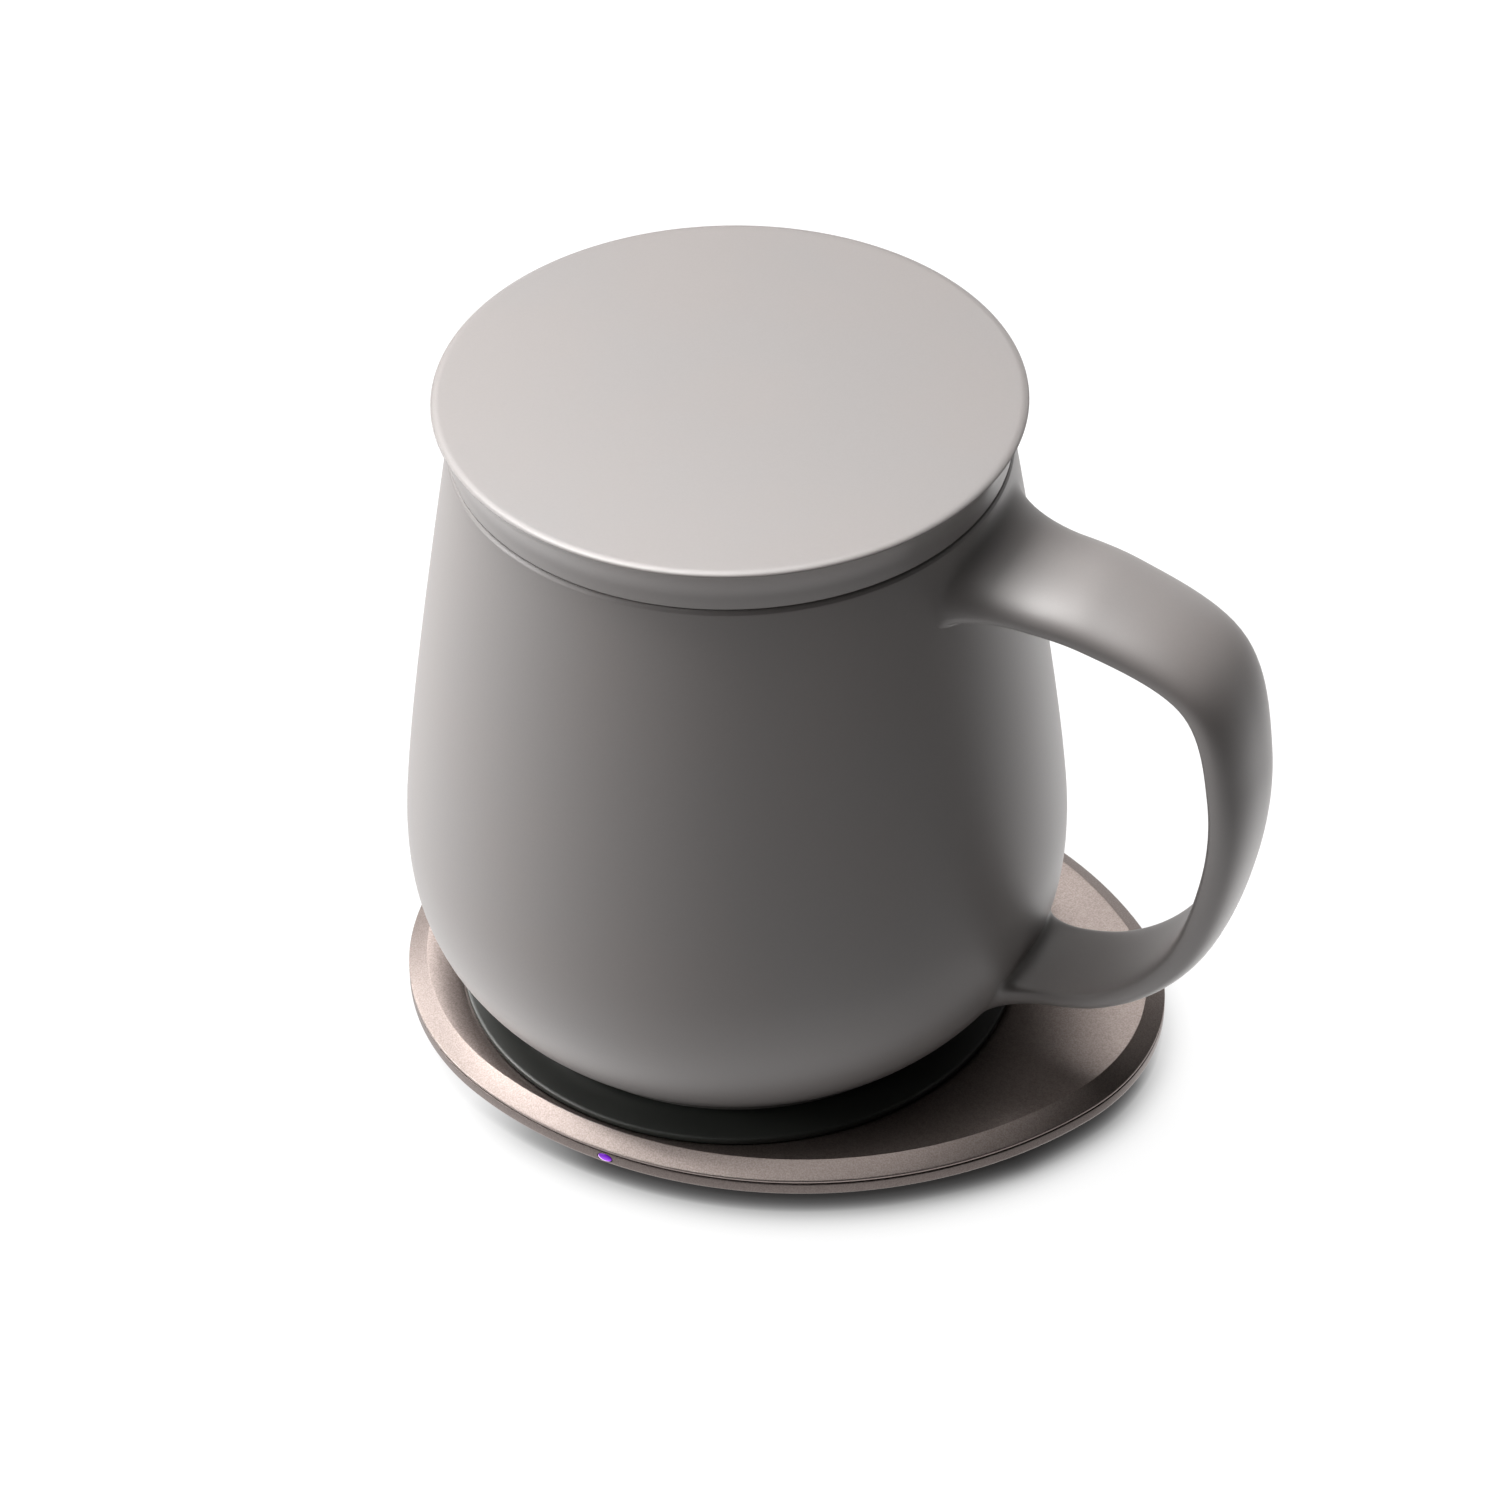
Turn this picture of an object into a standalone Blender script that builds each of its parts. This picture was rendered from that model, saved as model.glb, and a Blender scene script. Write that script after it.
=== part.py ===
"""Self heating ceramic mug with its lid, standing on its wireless charging coaster.

The mug's axis is the Z axis, the table is at height zero, and the coaster's long axis is X.
Lengths are metres. The coaster's pieces are modelled from the table upwards, the mug's pieces
from the plane of its foot, and the lid's pieces from the plane of the mug's rim. An empty
carries each of the three, so that the mug lifts off the coaster and the lid off the mug.
"""

import math

import bmesh
import bpy
from mathutils import Matrix, Vector

# Clearances and shared values
FIT_GAP = 0.0003
LENS_CLEARANCE = 0.0002
CUT_OVERRUN = 0.0005
SHARP_ANGLE = math.radians(32)

# Segment counts
FINE_SEGMENTS = 48
PLAIN_SEGMENTS = 28
HOLE_SEGMENTS = 12
TIP_STEPS = 7
SIDE_FRONT_STEPS = 8
SIDE_BACK_STEPS = 6
ROUND_STEPS = 9

# Coaster outline: a round end under the mug and a smaller tip, joined by swelling sides
ROUND_END_RADIUS = 0.0421
ROUND_END_X = -0.0077
TIP_RADIUS = 0.0334
END_SPACING = 0.0382
SIDE_SWELL = 0.0039

# Coaster heights and walls
PAD_THICKNESS = 0.0010
PAD_STAND = 0.0008
PAD_EDGE = 0.0002
BEVEL_HEIGHT = 0.00265
BEVEL_INSET = 0.0030
BAND_HEIGHT = 0.00175
CHAMFER_DROP = 0.0023
CHAMFER_WIDTH = 0.0028
DISC_STAND = 0.0005
DISC_EDGE = 0.0002
TRAY_FLOOR = 0.0010
TRAY_WALL = 0.0014
TRAY_COVE_HEIGHT = 0.0013
TRAY_COVE_WIDTH = 0.0019
PAD_RECESS_INSET = 0.0060
TOP_WALL = 0.0014
LIP_THICKNESS = 0.0009
LIP_DROP = 0.0011
SEAT_DEPTH = 0.0008
SEAT_WIDTH = 0.0030
FLOOR_MARGIN = 0.0009

# Coaster fastening
SCREW_RADIUS = 0.0008
SCREW_HEAD_RADIUS = 0.0015
SCREW_HEAD_HEIGHT = 0.0007
SCREW_SOCKET_RADIUS = 0.0006
SCREW_SOCKET_DEPTH = 0.0004
SCREW_LAND = 0.0008
BOSS_RADIUS = 0.0024
BOSS_ROOF = 0.0005
STANDOFF_RADIUS = 0.0028
STANDOFF_HEIGHT = 0.0006
TIP_SCREW_ANGLE = math.radians(25)

# Coaster electronics
BOARD_THICKNESS = 0.0008
BOARD_EDGE_GAP = 0.0008
BOARD_HOLE_GAP = 0.0005
CARRIER_RADIUS = 0.0314
CARRIER_WALL = 0.0012
CARRIER_FLOOR = 0.0008
FERRITE_THICKNESS = 0.0008
COIL_HEIGHT = 0.0010
COIL_EDGE = 0.0012
COIL_HOLE_RADIUS = 0.0090
COIL_GAP = 0.0005
COIL_TURNS = 5
COIL_STEPS_PER_TURN = 16
SENSOR_RADIUS = 0.0015
SENSOR_HEIGHT = 0.0010
INDUCTOR_SIZE = 0.0060
INDUCTOR_HEIGHT = 0.0014
CHIP_SIZE = 0.0044
CHIP_HEIGHT = 0.0009
CAPACITOR_LENGTH = 0.0032
CAPACITOR_WIDTH = 0.0016
CAPACITOR_HEIGHT = 0.0008
INDUCTOR_PLACE_SHARES = {"power_inductor": (0.55, 0.0)}
CHIP_PLACE_SHARES = {
    "controller_chip": (0.17, 0.0),
    "bridge_chip_left": (0.17, 0.42),
    "bridge_chip_right": (0.17, -0.42),
}
CAPACITOR_PLACE_SHARES = {
    "capacitor_outer_left": (0.45, 0.30),
    "capacitor_outer_right": (0.45, -0.30),
    "capacitor_tip_left": (0.80, 0.16),
    "capacitor_tip_right": (0.80, -0.16),
}

# Coaster light and power inlet
LIGHT_ANGLE = math.radians(-102)
LENS_WIDTH = 0.0022
LENS_HEIGHT = 0.0011
LENS_TAIL = 0.0012
LED_LENGTH = 0.0016
LED_DEPTH = 0.0008
LED_HEIGHT = 0.0007
LED_EDGE = 0.0002
PORT_WIDTH = 0.00894
PORT_HEIGHT = 0.0032
PORT_LENGTH = 0.0073
PORT_WALL = 0.0003
PORT_BACK = 0.0013
TONGUE_WIDTH = 0.0067
TONGUE_THICKNESS = 0.0007
TONGUE_SETBACK = 0.0006

# Mug outline, heights from the plane of the foot
FOOT_RADIUS = 0.0361
FOOT_EDGE = 0.0012
FOOT_RECESS_RADIUS = 0.0320
FOOT_FLARE_ANGLE = math.radians(40)
FOOT_FLARE_REACH = 0.0153
BELLY_RADIUS = 0.0480
BELLY_HEIGHT = 0.0275
BELLY_REACH_DOWN = 0.0068
BELLY_REACH_UP = 0.0130
RIM_RADIUS = 0.0389
RIM_ROUND = 0.0009
MUG_HEIGHT = 0.09385
MUG_WALL = 0.0037
CUP_FLOOR = 0.0038
CUP_CORNER = 0.0140

# Mug handle, a strap with a rounded outer face and a flat inner face
HANDLE_AZIMUTH = math.radians(-11.6)
HANDLE_REACH = 0.0761
HANDLE_TOP_HEIGHT = 0.0843
HANDLE_LOW_HEIGHT = 0.0140
HANDLE_TOP_WIDTH = 0.0220
HANDLE_LOW_WIDTH = 0.0152
HANDLE_THICKNESS = 0.0051
TOP_FILLET_SIDE = 0.0046
TOP_FILLET_OUTER = 0.0044
TOP_FILLET_INNER = 0.0012
TOP_ROOT_REACH = 0.0085
LOW_FILLET_SIDE = 0.0030
LOW_FILLET_OUTER = 0.0026
LOW_FILLET_INNER = 0.0022
LOW_ROOT_REACH = 0.0065
HANDLE_PATH_SHARES = (
    (0.54, 1.0),
    (0.745, 0.98),
    (0.94, 0.888),
    (1.0, 0.672),
    (0.993, 0.441),
    (0.924, 0.205),
    (0.778, 0.054),
    (0.564, 0.0),
)
OUTER_FACE_SHARE = 0.7
OUTER_FACE_POWER = 2.3
INNER_FACE_POWER = 5.0
FILLET_FULLNESS_SHARE = 0.55
SECTION_POINTS = 20
HANDLE_STATIONS = 20
FILLET_STEPS = 4
BODY_COLUMNS = 48
TOP_ROOT_COLUMNS = 6
TOP_ROOT_ROWS = 4
LOW_ROOT_COLUMNS = 4
LOW_ROOT_ROWS = 6
WAIST_ROWS = 6
CUP_ROWS = 4
CORNER_STEPS = 5
ROOT_MARGIN = 0.0006

# Mug heating module, heights from the plane of the foot
CAP_RISE = 0.0004
CAP_FLOOR = 0.0016
CAP_WALL = 0.0016
CAP_FLANGE = 0.0017
CAP_EDGE = 0.0004
GASKET_HEIGHT = 0.0020
MUG_COIL_HOLE_RADIUS = 0.0060
HEATER_THICKNESS = 0.0005
HEATER_EDGE = 0.0010
INSULATION_THICKNESS = 0.0015
MUG_PART_HEIGHT = 0.0010
MUG_PART_SIZE = 0.0042
MUG_PART_RING_SHARE = 0.6
MUG_PART_NAMES = (
    "rectifier_chip",
    "storage_capacitor_left",
    "mug_controller_chip",
    "tuning_capacitor",
    "storage_capacitor_right",
)
MUG_SENSOR_RADIUS = 0.0013

# Lid, heights from the plane of the mug's rim
LID_OVERHANG = 0.0019
LID_FOOT_EDGE = 0.0003
LID_WAIST_HEIGHT = 0.0018
LID_EDGE_HEIGHT = 0.0066
LID_EDGE_ROUND = 0.0007
LID_CROWN_RISE = 0.0005
LID_WALL = 0.0034
LID_FLARE_POWER = 1.9
PLUG_CLEARANCE = 0.0006
PLUG_DEPTH = 0.0073
PLUG_WALL = 0.0040
PLUG_EDGE = 0.0006
GROOVE_DEPTH = 0.0014
GROOVE_HEIGHT = 0.0024
GROOVE_TOP = 0.0022
SEAL_STAND = 0.0004
LID_FLARE_STEPS = 4


# Helpers that make meshes

def clear_scene():
    """Remove every object of the open scene."""
    for obj in list(bpy.data.objects):
        bpy.data.objects.remove(obj, do_unlink=True)


def make_material(name, colour, roughness, metallic=0.0):
    """Return a Principled material with the given linear colour."""
    material = bpy.data.materials.new(name)
    material.use_nodes = True
    material.diffuse_color = (*colour, 1.0)
    shader = material.node_tree.nodes["Principled BSDF"]
    shader.inputs["Base Color"].default_value = (*colour, 1.0)
    shader.inputs["Roughness"].default_value = roughness
    shader.inputs["Metallic"].default_value = metallic
    return material


def add_empty(name, height, parent=None):
    """Return an empty on the mug's axis at a height above its parent."""
    empty = bpy.data.objects.new(name, None)
    empty.location = (0.0, 0.0, height)
    empty.parent = parent
    bpy.context.scene.collection.objects.link(empty)
    return empty


def add_object(name, bm, material, parent):
    """Turn a bmesh into a smooth shaded object with outward faces."""
    bmesh.ops.recalc_face_normals(bm, faces=bm.faces)
    mesh = bpy.data.meshes.new(name)
    bm.to_mesh(mesh)
    bm.free()
    mesh.shade_smooth()
    mesh.set_sharp_from_angle(angle=SHARP_ANGLE)
    if material is not None:
        mesh.materials.append(material)
    obj = bpy.data.objects.new(name, mesh)
    obj.parent = parent
    bpy.context.scene.collection.objects.link(obj)
    return obj


def add_guide(name, bm, parent):
    """Return a hidden object that a Boolean modifier reads."""
    guide = add_object(name, bm, None, parent)
    guide.hide_render = True
    guide.display_type = "WIRE"
    return guide


def apply_guide(target, guide, operation):
    """Cut a guide out of an object, or join it on."""
    modifier = target.modifiers.new(guide.name, "BOOLEAN")
    modifier.operation = operation
    modifier.solver = "EXACT"
    modifier.object = guide


def skin(bm, lower, upper):
    """Join two rings of equally many vertices with quads."""
    count = len(lower)
    for index in range(count):
        following = (index + 1) % count
        bm.faces.new((lower[index], lower[following], upper[following], upper[index]))


def loft(bm, rings, closed=False):
    """Skin a list of point rings, either into a closed loop or with flat caps."""
    rows = [[bm.verts.new(point) for point in ring] for ring in rings]
    for lower, upper in zip(rows, rows[1:]):
        skin(bm, lower, upper)
    if closed:
        skin(bm, rows[-1], rows[0])
    else:
        bm.faces.new(rows[0])
        bm.faces.new(rows[-1])
    return rows


def turn_profile(bm, profile, segments, place=Vector((0.0, 0.0)), closed=False):
    """Spin radius and height pairs about a vertical axis, and fill the flat ends."""
    verts = [bm.verts.new((place.x + radius, place.y, height)) for radius, height in profile]
    pairs = list(zip(verts, verts[1:]))
    if closed:
        pairs.append((verts[-1], verts[0]))
    edges = [bm.edges.new(pair) for pair in pairs]
    bmesh.ops.spin(
        bm,
        geom=verts + edges,
        cent=(place.x, place.y, 0.0),
        axis=(0.0, 0.0, 1.0),
        angle=math.tau,
        steps=segments,
        use_merge=True,
    )
    if not closed:
        bmesh.ops.holes_fill(bm, edges=[edge for edge in bm.edges if edge.is_boundary])


def lathe(profile, segments, closed=False):
    """Return a new bmesh of a piece turned about the Z axis."""
    bm = bmesh.new()
    turn_profile(bm, profile, segments, closed=closed)
    return bm


def add_box(bm, size, centre, turn=0.0):
    """Add a box, turned about the vertical, to a bmesh."""
    matrix = Matrix.Translation(centre) @ Matrix.Rotation(turn, 4, "Z") @ Matrix.Diagonal((*size, 1.0))
    bmesh.ops.create_cube(bm, size=1.0, matrix=matrix)


def slot_ring(width, height, place, outward, distance):
    """Return the outline of a level slot with round ends that faces a direction."""
    across = Vector((-outward.y, outward.x, 0.0))
    radius = height / 2
    straight = width / 2 - radius
    points = []
    for index in range(HOLE_SEGMENTS):
        angle = math.tau * (index + 0.5) / HOLE_SEGMENTS
        side = math.copysign(straight, math.cos(angle))
        shift = across * (side + radius * math.cos(angle))
        rise = Vector((0.0, 0.0, radius * math.sin(angle)))
        points.append(place + outward * distance + shift + rise)
    return points


# Coaster outline

def side_arc():
    """Return the radius of the swelling side and its centre, for the side on +Y.

    The side touches both end circles from inside and swells past the round end's radius by
    SIDE_SWELL. Its radius is found by halving an interval.
    """
    half_width = ROUND_END_RADIUS + SIDE_SWELL

    def reach(radius, end_radius):
        return math.sqrt((half_width - end_radius) * (2 * radius - end_radius - half_width))

    low = half_width
    high = half_width + 100 * END_SPACING
    for _ in range(60):
        middle = (low + high) / 2
        if reach(middle, ROUND_END_RADIUS) + reach(middle, TIP_RADIUS) < END_SPACING:
            low = middle
        else:
            high = middle
    centre_x = ROUND_END_X + reach(low, ROUND_END_RADIUS)
    return low, Vector((centre_x, half_width - low))


SIDE_RADIUS, SIDE_CENTRE = side_arc()
ROUND_CENTRE = Vector((ROUND_END_X, 0.0))
TIP_CENTRE = Vector((ROUND_END_X + END_SPACING, 0.0))


def arc_points(centre, radius, start, end, steps):
    """Return points on an arc, without its last point."""
    turn = (end - start) / steps
    angles = [start + turn * index for index in range(steps)]
    return [centre + radius * Vector((math.cos(angle), math.sin(angle))) for angle in angles]


def outline_ring(inset, height):
    """Return the coaster's outline, moved inwards, as a level ring of points."""
    to_round = ROUND_CENTRE - SIDE_CENTRE
    to_tip = TIP_CENTRE - SIDE_CENTRE
    round_turn = math.atan2(to_round.y, to_round.x)
    tip_turn = math.atan2(to_tip.y, to_tip.x)
    upright = math.pi / 2
    upper = arc_points(TIP_CENTRE, TIP_RADIUS - inset, 0.0, tip_turn, TIP_STEPS)
    upper += arc_points(SIDE_CENTRE, SIDE_RADIUS - inset, tip_turn, upright, SIDE_FRONT_STEPS)
    upper += arc_points(SIDE_CENTRE, SIDE_RADIUS - inset, upright, round_turn, SIDE_BACK_STEPS)
    upper += arc_points(ROUND_CENTRE, ROUND_END_RADIUS - inset, round_turn, math.pi, ROUND_STEPS)
    end = ROUND_CENTRE - Vector((ROUND_END_RADIUS - inset, 0.0))
    lower = [Vector((point.x, -point.y)) for point in reversed(upper[1:])]
    return [Vector((point.x, point.y, height)) for point in upper + [end] + lower]


def round_ring(radius, height):
    """Return a circle whose points face those of the coaster's outline."""
    points = []
    for point in outline_ring(0.0, height):
        flat = Vector((point.x, point.y)).normalized() * radius
        points.append(Vector((flat.x, flat.y, height)))
    return points


def side_place(angle, inset, height):
    """Return a place on the side arc and the direction that faces out there."""
    outward = Vector((math.cos(angle), math.sin(angle), 0.0))
    centre = Vector((SIDE_CENTRE.x, math.copysign(SIDE_CENTRE.y, -outward.y), height))
    return centre + outward * (SIDE_RADIUS - inset), outward


# Coaster sizes that follow from the driving ones
NEAREST_EDGE = SIDE_RADIUS - SIDE_CENTRE.length
SEAT_RADIUS = NEAREST_EDGE - CHAMFER_WIDTH - FLOOR_MARGIN
DISC_RADIUS = SEAT_RADIUS - FIT_GAP
SEAT_HOLE_RADIUS = SEAT_RADIUS - SEAT_WIDTH
RECESS_CEILING = PAD_THICKNESS + FIT_GAP
TRAY_FLOOR_TOP = RECESS_CEILING + TRAY_FLOOR
BAND_BOTTOM = PAD_STAND + BEVEL_HEIGHT
BAND_TOP = BAND_BOTTOM + BAND_HEIGHT
CHAMFER_BOTTOM = BAND_TOP + FIT_GAP
FLOOR_TOP = CHAMFER_BOTTOM + CHAMFER_DROP
FLOOR_UNDERSIDE = FLOOR_TOP - TOP_WALL
SEAT_FLOOR = FLOOR_TOP - SEAT_DEPTH
DISC_TOP = FLOOR_TOP + DISC_STAND
LIP_INSET = TRAY_WALL + FIT_GAP
LIP_BOTTOM = CHAMFER_BOTTOM - LIP_DROP
BOARD_BOTTOM = TRAY_FLOOR_TOP + STANDOFF_HEIGHT + FIT_GAP
BOARD_TOP = BOARD_BOTTOM + BOARD_THICKNESS
BOARD_INSET = LIP_INSET + LIP_THICKNESS + BOARD_EDGE_GAP
BOARD_HOLE_RADIUS = CARRIER_RADIUS + BOARD_HOLE_GAP
SCREW_HOLE_RADIUS = SCREW_RADIUS + FIT_GAP
COUNTERBORE_RADIUS = SCREW_HEAD_RADIUS + FIT_GAP
SCREW_INSET = PAD_RECESS_INSET + COUNTERBORE_RADIUS + SCREW_LAND
CARRIER_BOTTOM = TRAY_FLOOR_TOP + FIT_GAP
FERRITE_BOTTOM = CARRIER_BOTTOM + CARRIER_FLOOR + FIT_GAP
COIL_BOTTOM = FERRITE_BOTTOM + FERRITE_THICKNESS + FIT_GAP
COIL_TOP = COIL_BOTTOM + COIL_HEIGHT
DISC_BOTTOM = COIL_TOP + FIT_GAP
FERRITE_RADIUS = CARRIER_RADIUS - CARRIER_WALL - FIT_GAP
LENS_HEIGHT_ABOVE_TABLE = BAND_BOTTOM + BAND_HEIGHT / 2
PORT_CENTRE_HEIGHT = TRAY_FLOOR_TOP + FIT_GAP + PORT_HEIGHT / 2

# Mug sizes that follow from the driving ones
MUG_REST_HEIGHT = DISC_TOP + FIT_GAP
CAP_RADIUS = FOOT_RECESS_RADIUS - FIT_GAP
CAP_WALL_RADIUS = CAP_RADIUS - CAP_FLANGE
CAP_INNER_RADIUS = CAP_WALL_RADIUS - CAP_WALL
CAP_FLOOR_TOP = CAP_RISE + CAP_FLOOR
MODULE_RADIUS = CAP_INNER_RADIUS - FIT_GAP
MUG_COIL_BOTTOM = CAP_FLOOR_TOP + FIT_GAP
MUG_FERRITE_BOTTOM = MUG_COIL_BOTTOM + COIL_HEIGHT + FIT_GAP
MUG_BOARD_BOTTOM = MUG_FERRITE_BOTTOM + FERRITE_THICKNESS + FIT_GAP
MUG_PARTS_BOTTOM = MUG_BOARD_BOTTOM + BOARD_THICKNESS + FIT_GAP
INSULATION_BOTTOM = MUG_PARTS_BOTTOM + MUG_PART_HEIGHT + FIT_GAP
INSULATION_TOP = INSULATION_BOTTOM + INSULATION_THICKNESS
HEATER_BOTTOM = INSULATION_TOP + FIT_GAP
HEATER_RADIUS = FOOT_RECESS_RADIUS - HEATER_EDGE
FOOT_RECESS_DEPTH = HEATER_BOTTOM + HEATER_THICKNESS + FIT_GAP
CUP_FLOOR_HEIGHT = FOOT_RECESS_DEPTH + CUP_FLOOR
MOUTH_RADIUS = RIM_RADIUS - MUG_WALL
PLUG_RADIUS = MOUTH_RADIUS - PLUG_CLEARANCE
LID_EDGE_RADIUS = RIM_RADIUS + LID_OVERHANG


# Coaster pieces

def screw_places():
    """Return the screws' names and places: one at the round end and two at the tip."""
    tip_reach = TIP_RADIUS - SCREW_INSET
    along = tip_reach * math.cos(TIP_SCREW_ANGLE)
    across = tip_reach * math.sin(TIP_SCREW_ANGLE)
    return {
        "tray_screw_back": ROUND_CENTRE - Vector((ROUND_END_RADIUS - SCREW_INSET, 0.0)),
        "tray_screw_left": TIP_CENTRE + Vector((along, across)),
        "tray_screw_right": TIP_CENTRE + Vector((along, -across)),
    }


def build_base_pad(material, parent):
    """Build the silicone pad in the recess under the tray."""
    inset = PAD_RECESS_INSET + FIT_GAP
    bm = bmesh.new()
    rings = [outline_ring(inset + PAD_EDGE, 0.0), outline_ring(inset, PAD_EDGE)]
    rings.append(outline_ring(inset, PAD_THICKNESS))
    loft(bm, rings)
    return add_object("base_pad", bm, material, parent)


def build_tray(material, parent):
    """Build the lower shell: undercut, side band, floor, and standoffs for the board."""
    cove_top = TRAY_FLOOR_TOP + TRAY_COVE_HEIGHT
    profile = (
        (PAD_RECESS_INSET, RECESS_CEILING),
        (PAD_RECESS_INSET, PAD_STAND),
        (BEVEL_INSET, PAD_STAND),
        (0.0, BAND_BOTTOM),
        (0.0, BAND_TOP),
        (TRAY_WALL, BAND_TOP),
        (TRAY_WALL, cove_top),
        (TRAY_WALL + TRAY_COVE_WIDTH, TRAY_FLOOR_TOP),
    )
    bm = bmesh.new()
    loft(bm, [outline_ring(*ring) for ring in profile])
    tray = add_object("coaster_tray", bm, material, parent)
    posts = bmesh.new()
    holes = bmesh.new()
    post_top = TRAY_FLOOR_TOP + STANDOFF_HEIGHT
    head_room = RECESS_CEILING + SCREW_HEAD_HEIGHT + FIT_GAP
    for place in screw_places().values():
        post = ((STANDOFF_RADIUS, TRAY_FLOOR_TOP - CUT_OVERRUN), (STANDOFF_RADIUS, post_top))
        turn_profile(posts, post, HOLE_SEGMENTS, place)
        hole = (
            (COUNTERBORE_RADIUS, RECESS_CEILING - CUT_OVERRUN),
            (COUNTERBORE_RADIUS, head_room),
            (SCREW_HOLE_RADIUS, head_room),
            (SCREW_HOLE_RADIUS, post_top + CUT_OVERRUN),
        )
        turn_profile(holes, hole, HOLE_SEGMENTS, place)
    apply_guide(tray, add_guide("tray_posts_guide", posts, parent), "UNION")
    apply_guide(tray, add_guide("tray_holes_guide", holes, parent), "DIFFERENCE")
    return tray


def build_screws(material, parent):
    """Build the three screws that hold the tray to the top plate."""
    screw_top = FLOOR_UNDERSIDE - BOSS_ROOF - FIT_GAP
    head_top = RECESS_CEILING + SCREW_HEAD_HEIGHT
    profile = (
        (SCREW_SOCKET_RADIUS, RECESS_CEILING + SCREW_SOCKET_DEPTH),
        (SCREW_SOCKET_RADIUS, RECESS_CEILING),
        (SCREW_HEAD_RADIUS, RECESS_CEILING),
        (SCREW_HEAD_RADIUS, head_top),
        (SCREW_RADIUS, head_top),
        (SCREW_RADIUS, screw_top),
    )
    for name, place in screw_places().items():
        bm = bmesh.new()
        turn_profile(bm, profile, HOLE_SEGMENTS, place)
        add_object(name, bm, material, parent)


def build_top_plate(material, parent):
    """Build the metal top: wide chamfer, floor, stepped seat for the disc, lip and bosses."""
    slope = CHAMFER_WIDTH / CHAMFER_DROP
    wall_across = TOP_WALL * math.hypot(CHAMFER_WIDTH, CHAMFER_DROP) / CHAMFER_DROP
    lip_inner = LIP_INSET + LIP_THICKNESS
    lip_root = CHAMFER_BOTTOM + (lip_inner - wall_across) / slope
    under_inset = (FLOOR_UNDERSIDE - CHAMFER_BOTTOM) * slope + wall_across
    rings = [
        outline_ring(0.0, CHAMFER_BOTTOM),
        outline_ring(CHAMFER_WIDTH, FLOOR_TOP),
        round_ring(SEAT_RADIUS, FLOOR_TOP),
        round_ring(SEAT_RADIUS, SEAT_FLOOR),
        round_ring(SEAT_HOLE_RADIUS, SEAT_FLOOR),
        round_ring(SEAT_HOLE_RADIUS, FLOOR_UNDERSIDE),
        outline_ring(under_inset, FLOOR_UNDERSIDE),
        outline_ring(lip_inner, lip_root),
        outline_ring(lip_inner, LIP_BOTTOM),
        outline_ring(LIP_INSET, LIP_BOTTOM),
        outline_ring(LIP_INSET, CHAMFER_BOTTOM),
    ]
    bm = bmesh.new()
    loft(bm, rings, closed=True)
    plate = add_object("top_plate", bm, material, parent)
    bosses = bmesh.new()
    holes = bmesh.new()
    boss_bottom = BOARD_TOP + FIT_GAP
    for place in screw_places().values():
        boss = ((BOSS_RADIUS, boss_bottom), (BOSS_RADIUS, FLOOR_UNDERSIDE + CUT_OVERRUN))
        turn_profile(bosses, boss, HOLE_SEGMENTS, place)
        hole_top = FLOOR_UNDERSIDE - BOSS_ROOF
        hole = ((SCREW_HOLE_RADIUS, boss_bottom - CUT_OVERRUN), (SCREW_HOLE_RADIUS, hole_top))
        turn_profile(holes, hole, HOLE_SEGMENTS, place)
    apply_guide(plate, add_guide("plate_bosses_guide", bosses, parent), "UNION")
    apply_guide(plate, add_guide("plate_holes_guide", holes, parent), "DIFFERENCE")
    return plate


def build_charging_disc(material, parent):
    """Build the dark disc that stands proud of the floor and drops into the seat."""
    plug_radius = SEAT_HOLE_RADIUS - FIT_GAP
    flange_bottom = SEAT_FLOOR + FIT_GAP
    profile = (
        (plug_radius, DISC_BOTTOM),
        (plug_radius, flange_bottom),
        (DISC_RADIUS, flange_bottom),
        (DISC_RADIUS, DISC_TOP - DISC_EDGE),
        (DISC_RADIUS - DISC_EDGE, DISC_TOP),
    )
    return add_object("charging_disc", lathe(profile, FINE_SEGMENTS), material, parent)


def build_coil(name, hole_radius, outer_radius, bottom, material, parent):
    """Build a flat coil as one band that winds outwards at a steady pitch."""
    pitch = (outer_radius - hole_radius) / (COIL_TURNS + 1)
    band = pitch - COIL_GAP
    steps = COIL_TURNS * COIL_STEPS_PER_TURN
    rings = []
    for step in range(steps + 1):
        turns = step / COIL_STEPS_PER_TURN
        angle = math.tau * turns
        inner = hole_radius + pitch * turns
        facing = Vector((math.cos(angle), math.sin(angle), 0.0))
        low = Vector((0.0, 0.0, bottom))
        high = Vector((0.0, 0.0, bottom + COIL_HEIGHT))
        corners = ((inner, low), (inner + band, low), (inner + band, high), (inner, high))
        rings.append([facing * reach + level for reach, level in corners])
    bm = bmesh.new()
    loft(bm, rings)
    return add_object(name, bm, material, parent)


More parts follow.
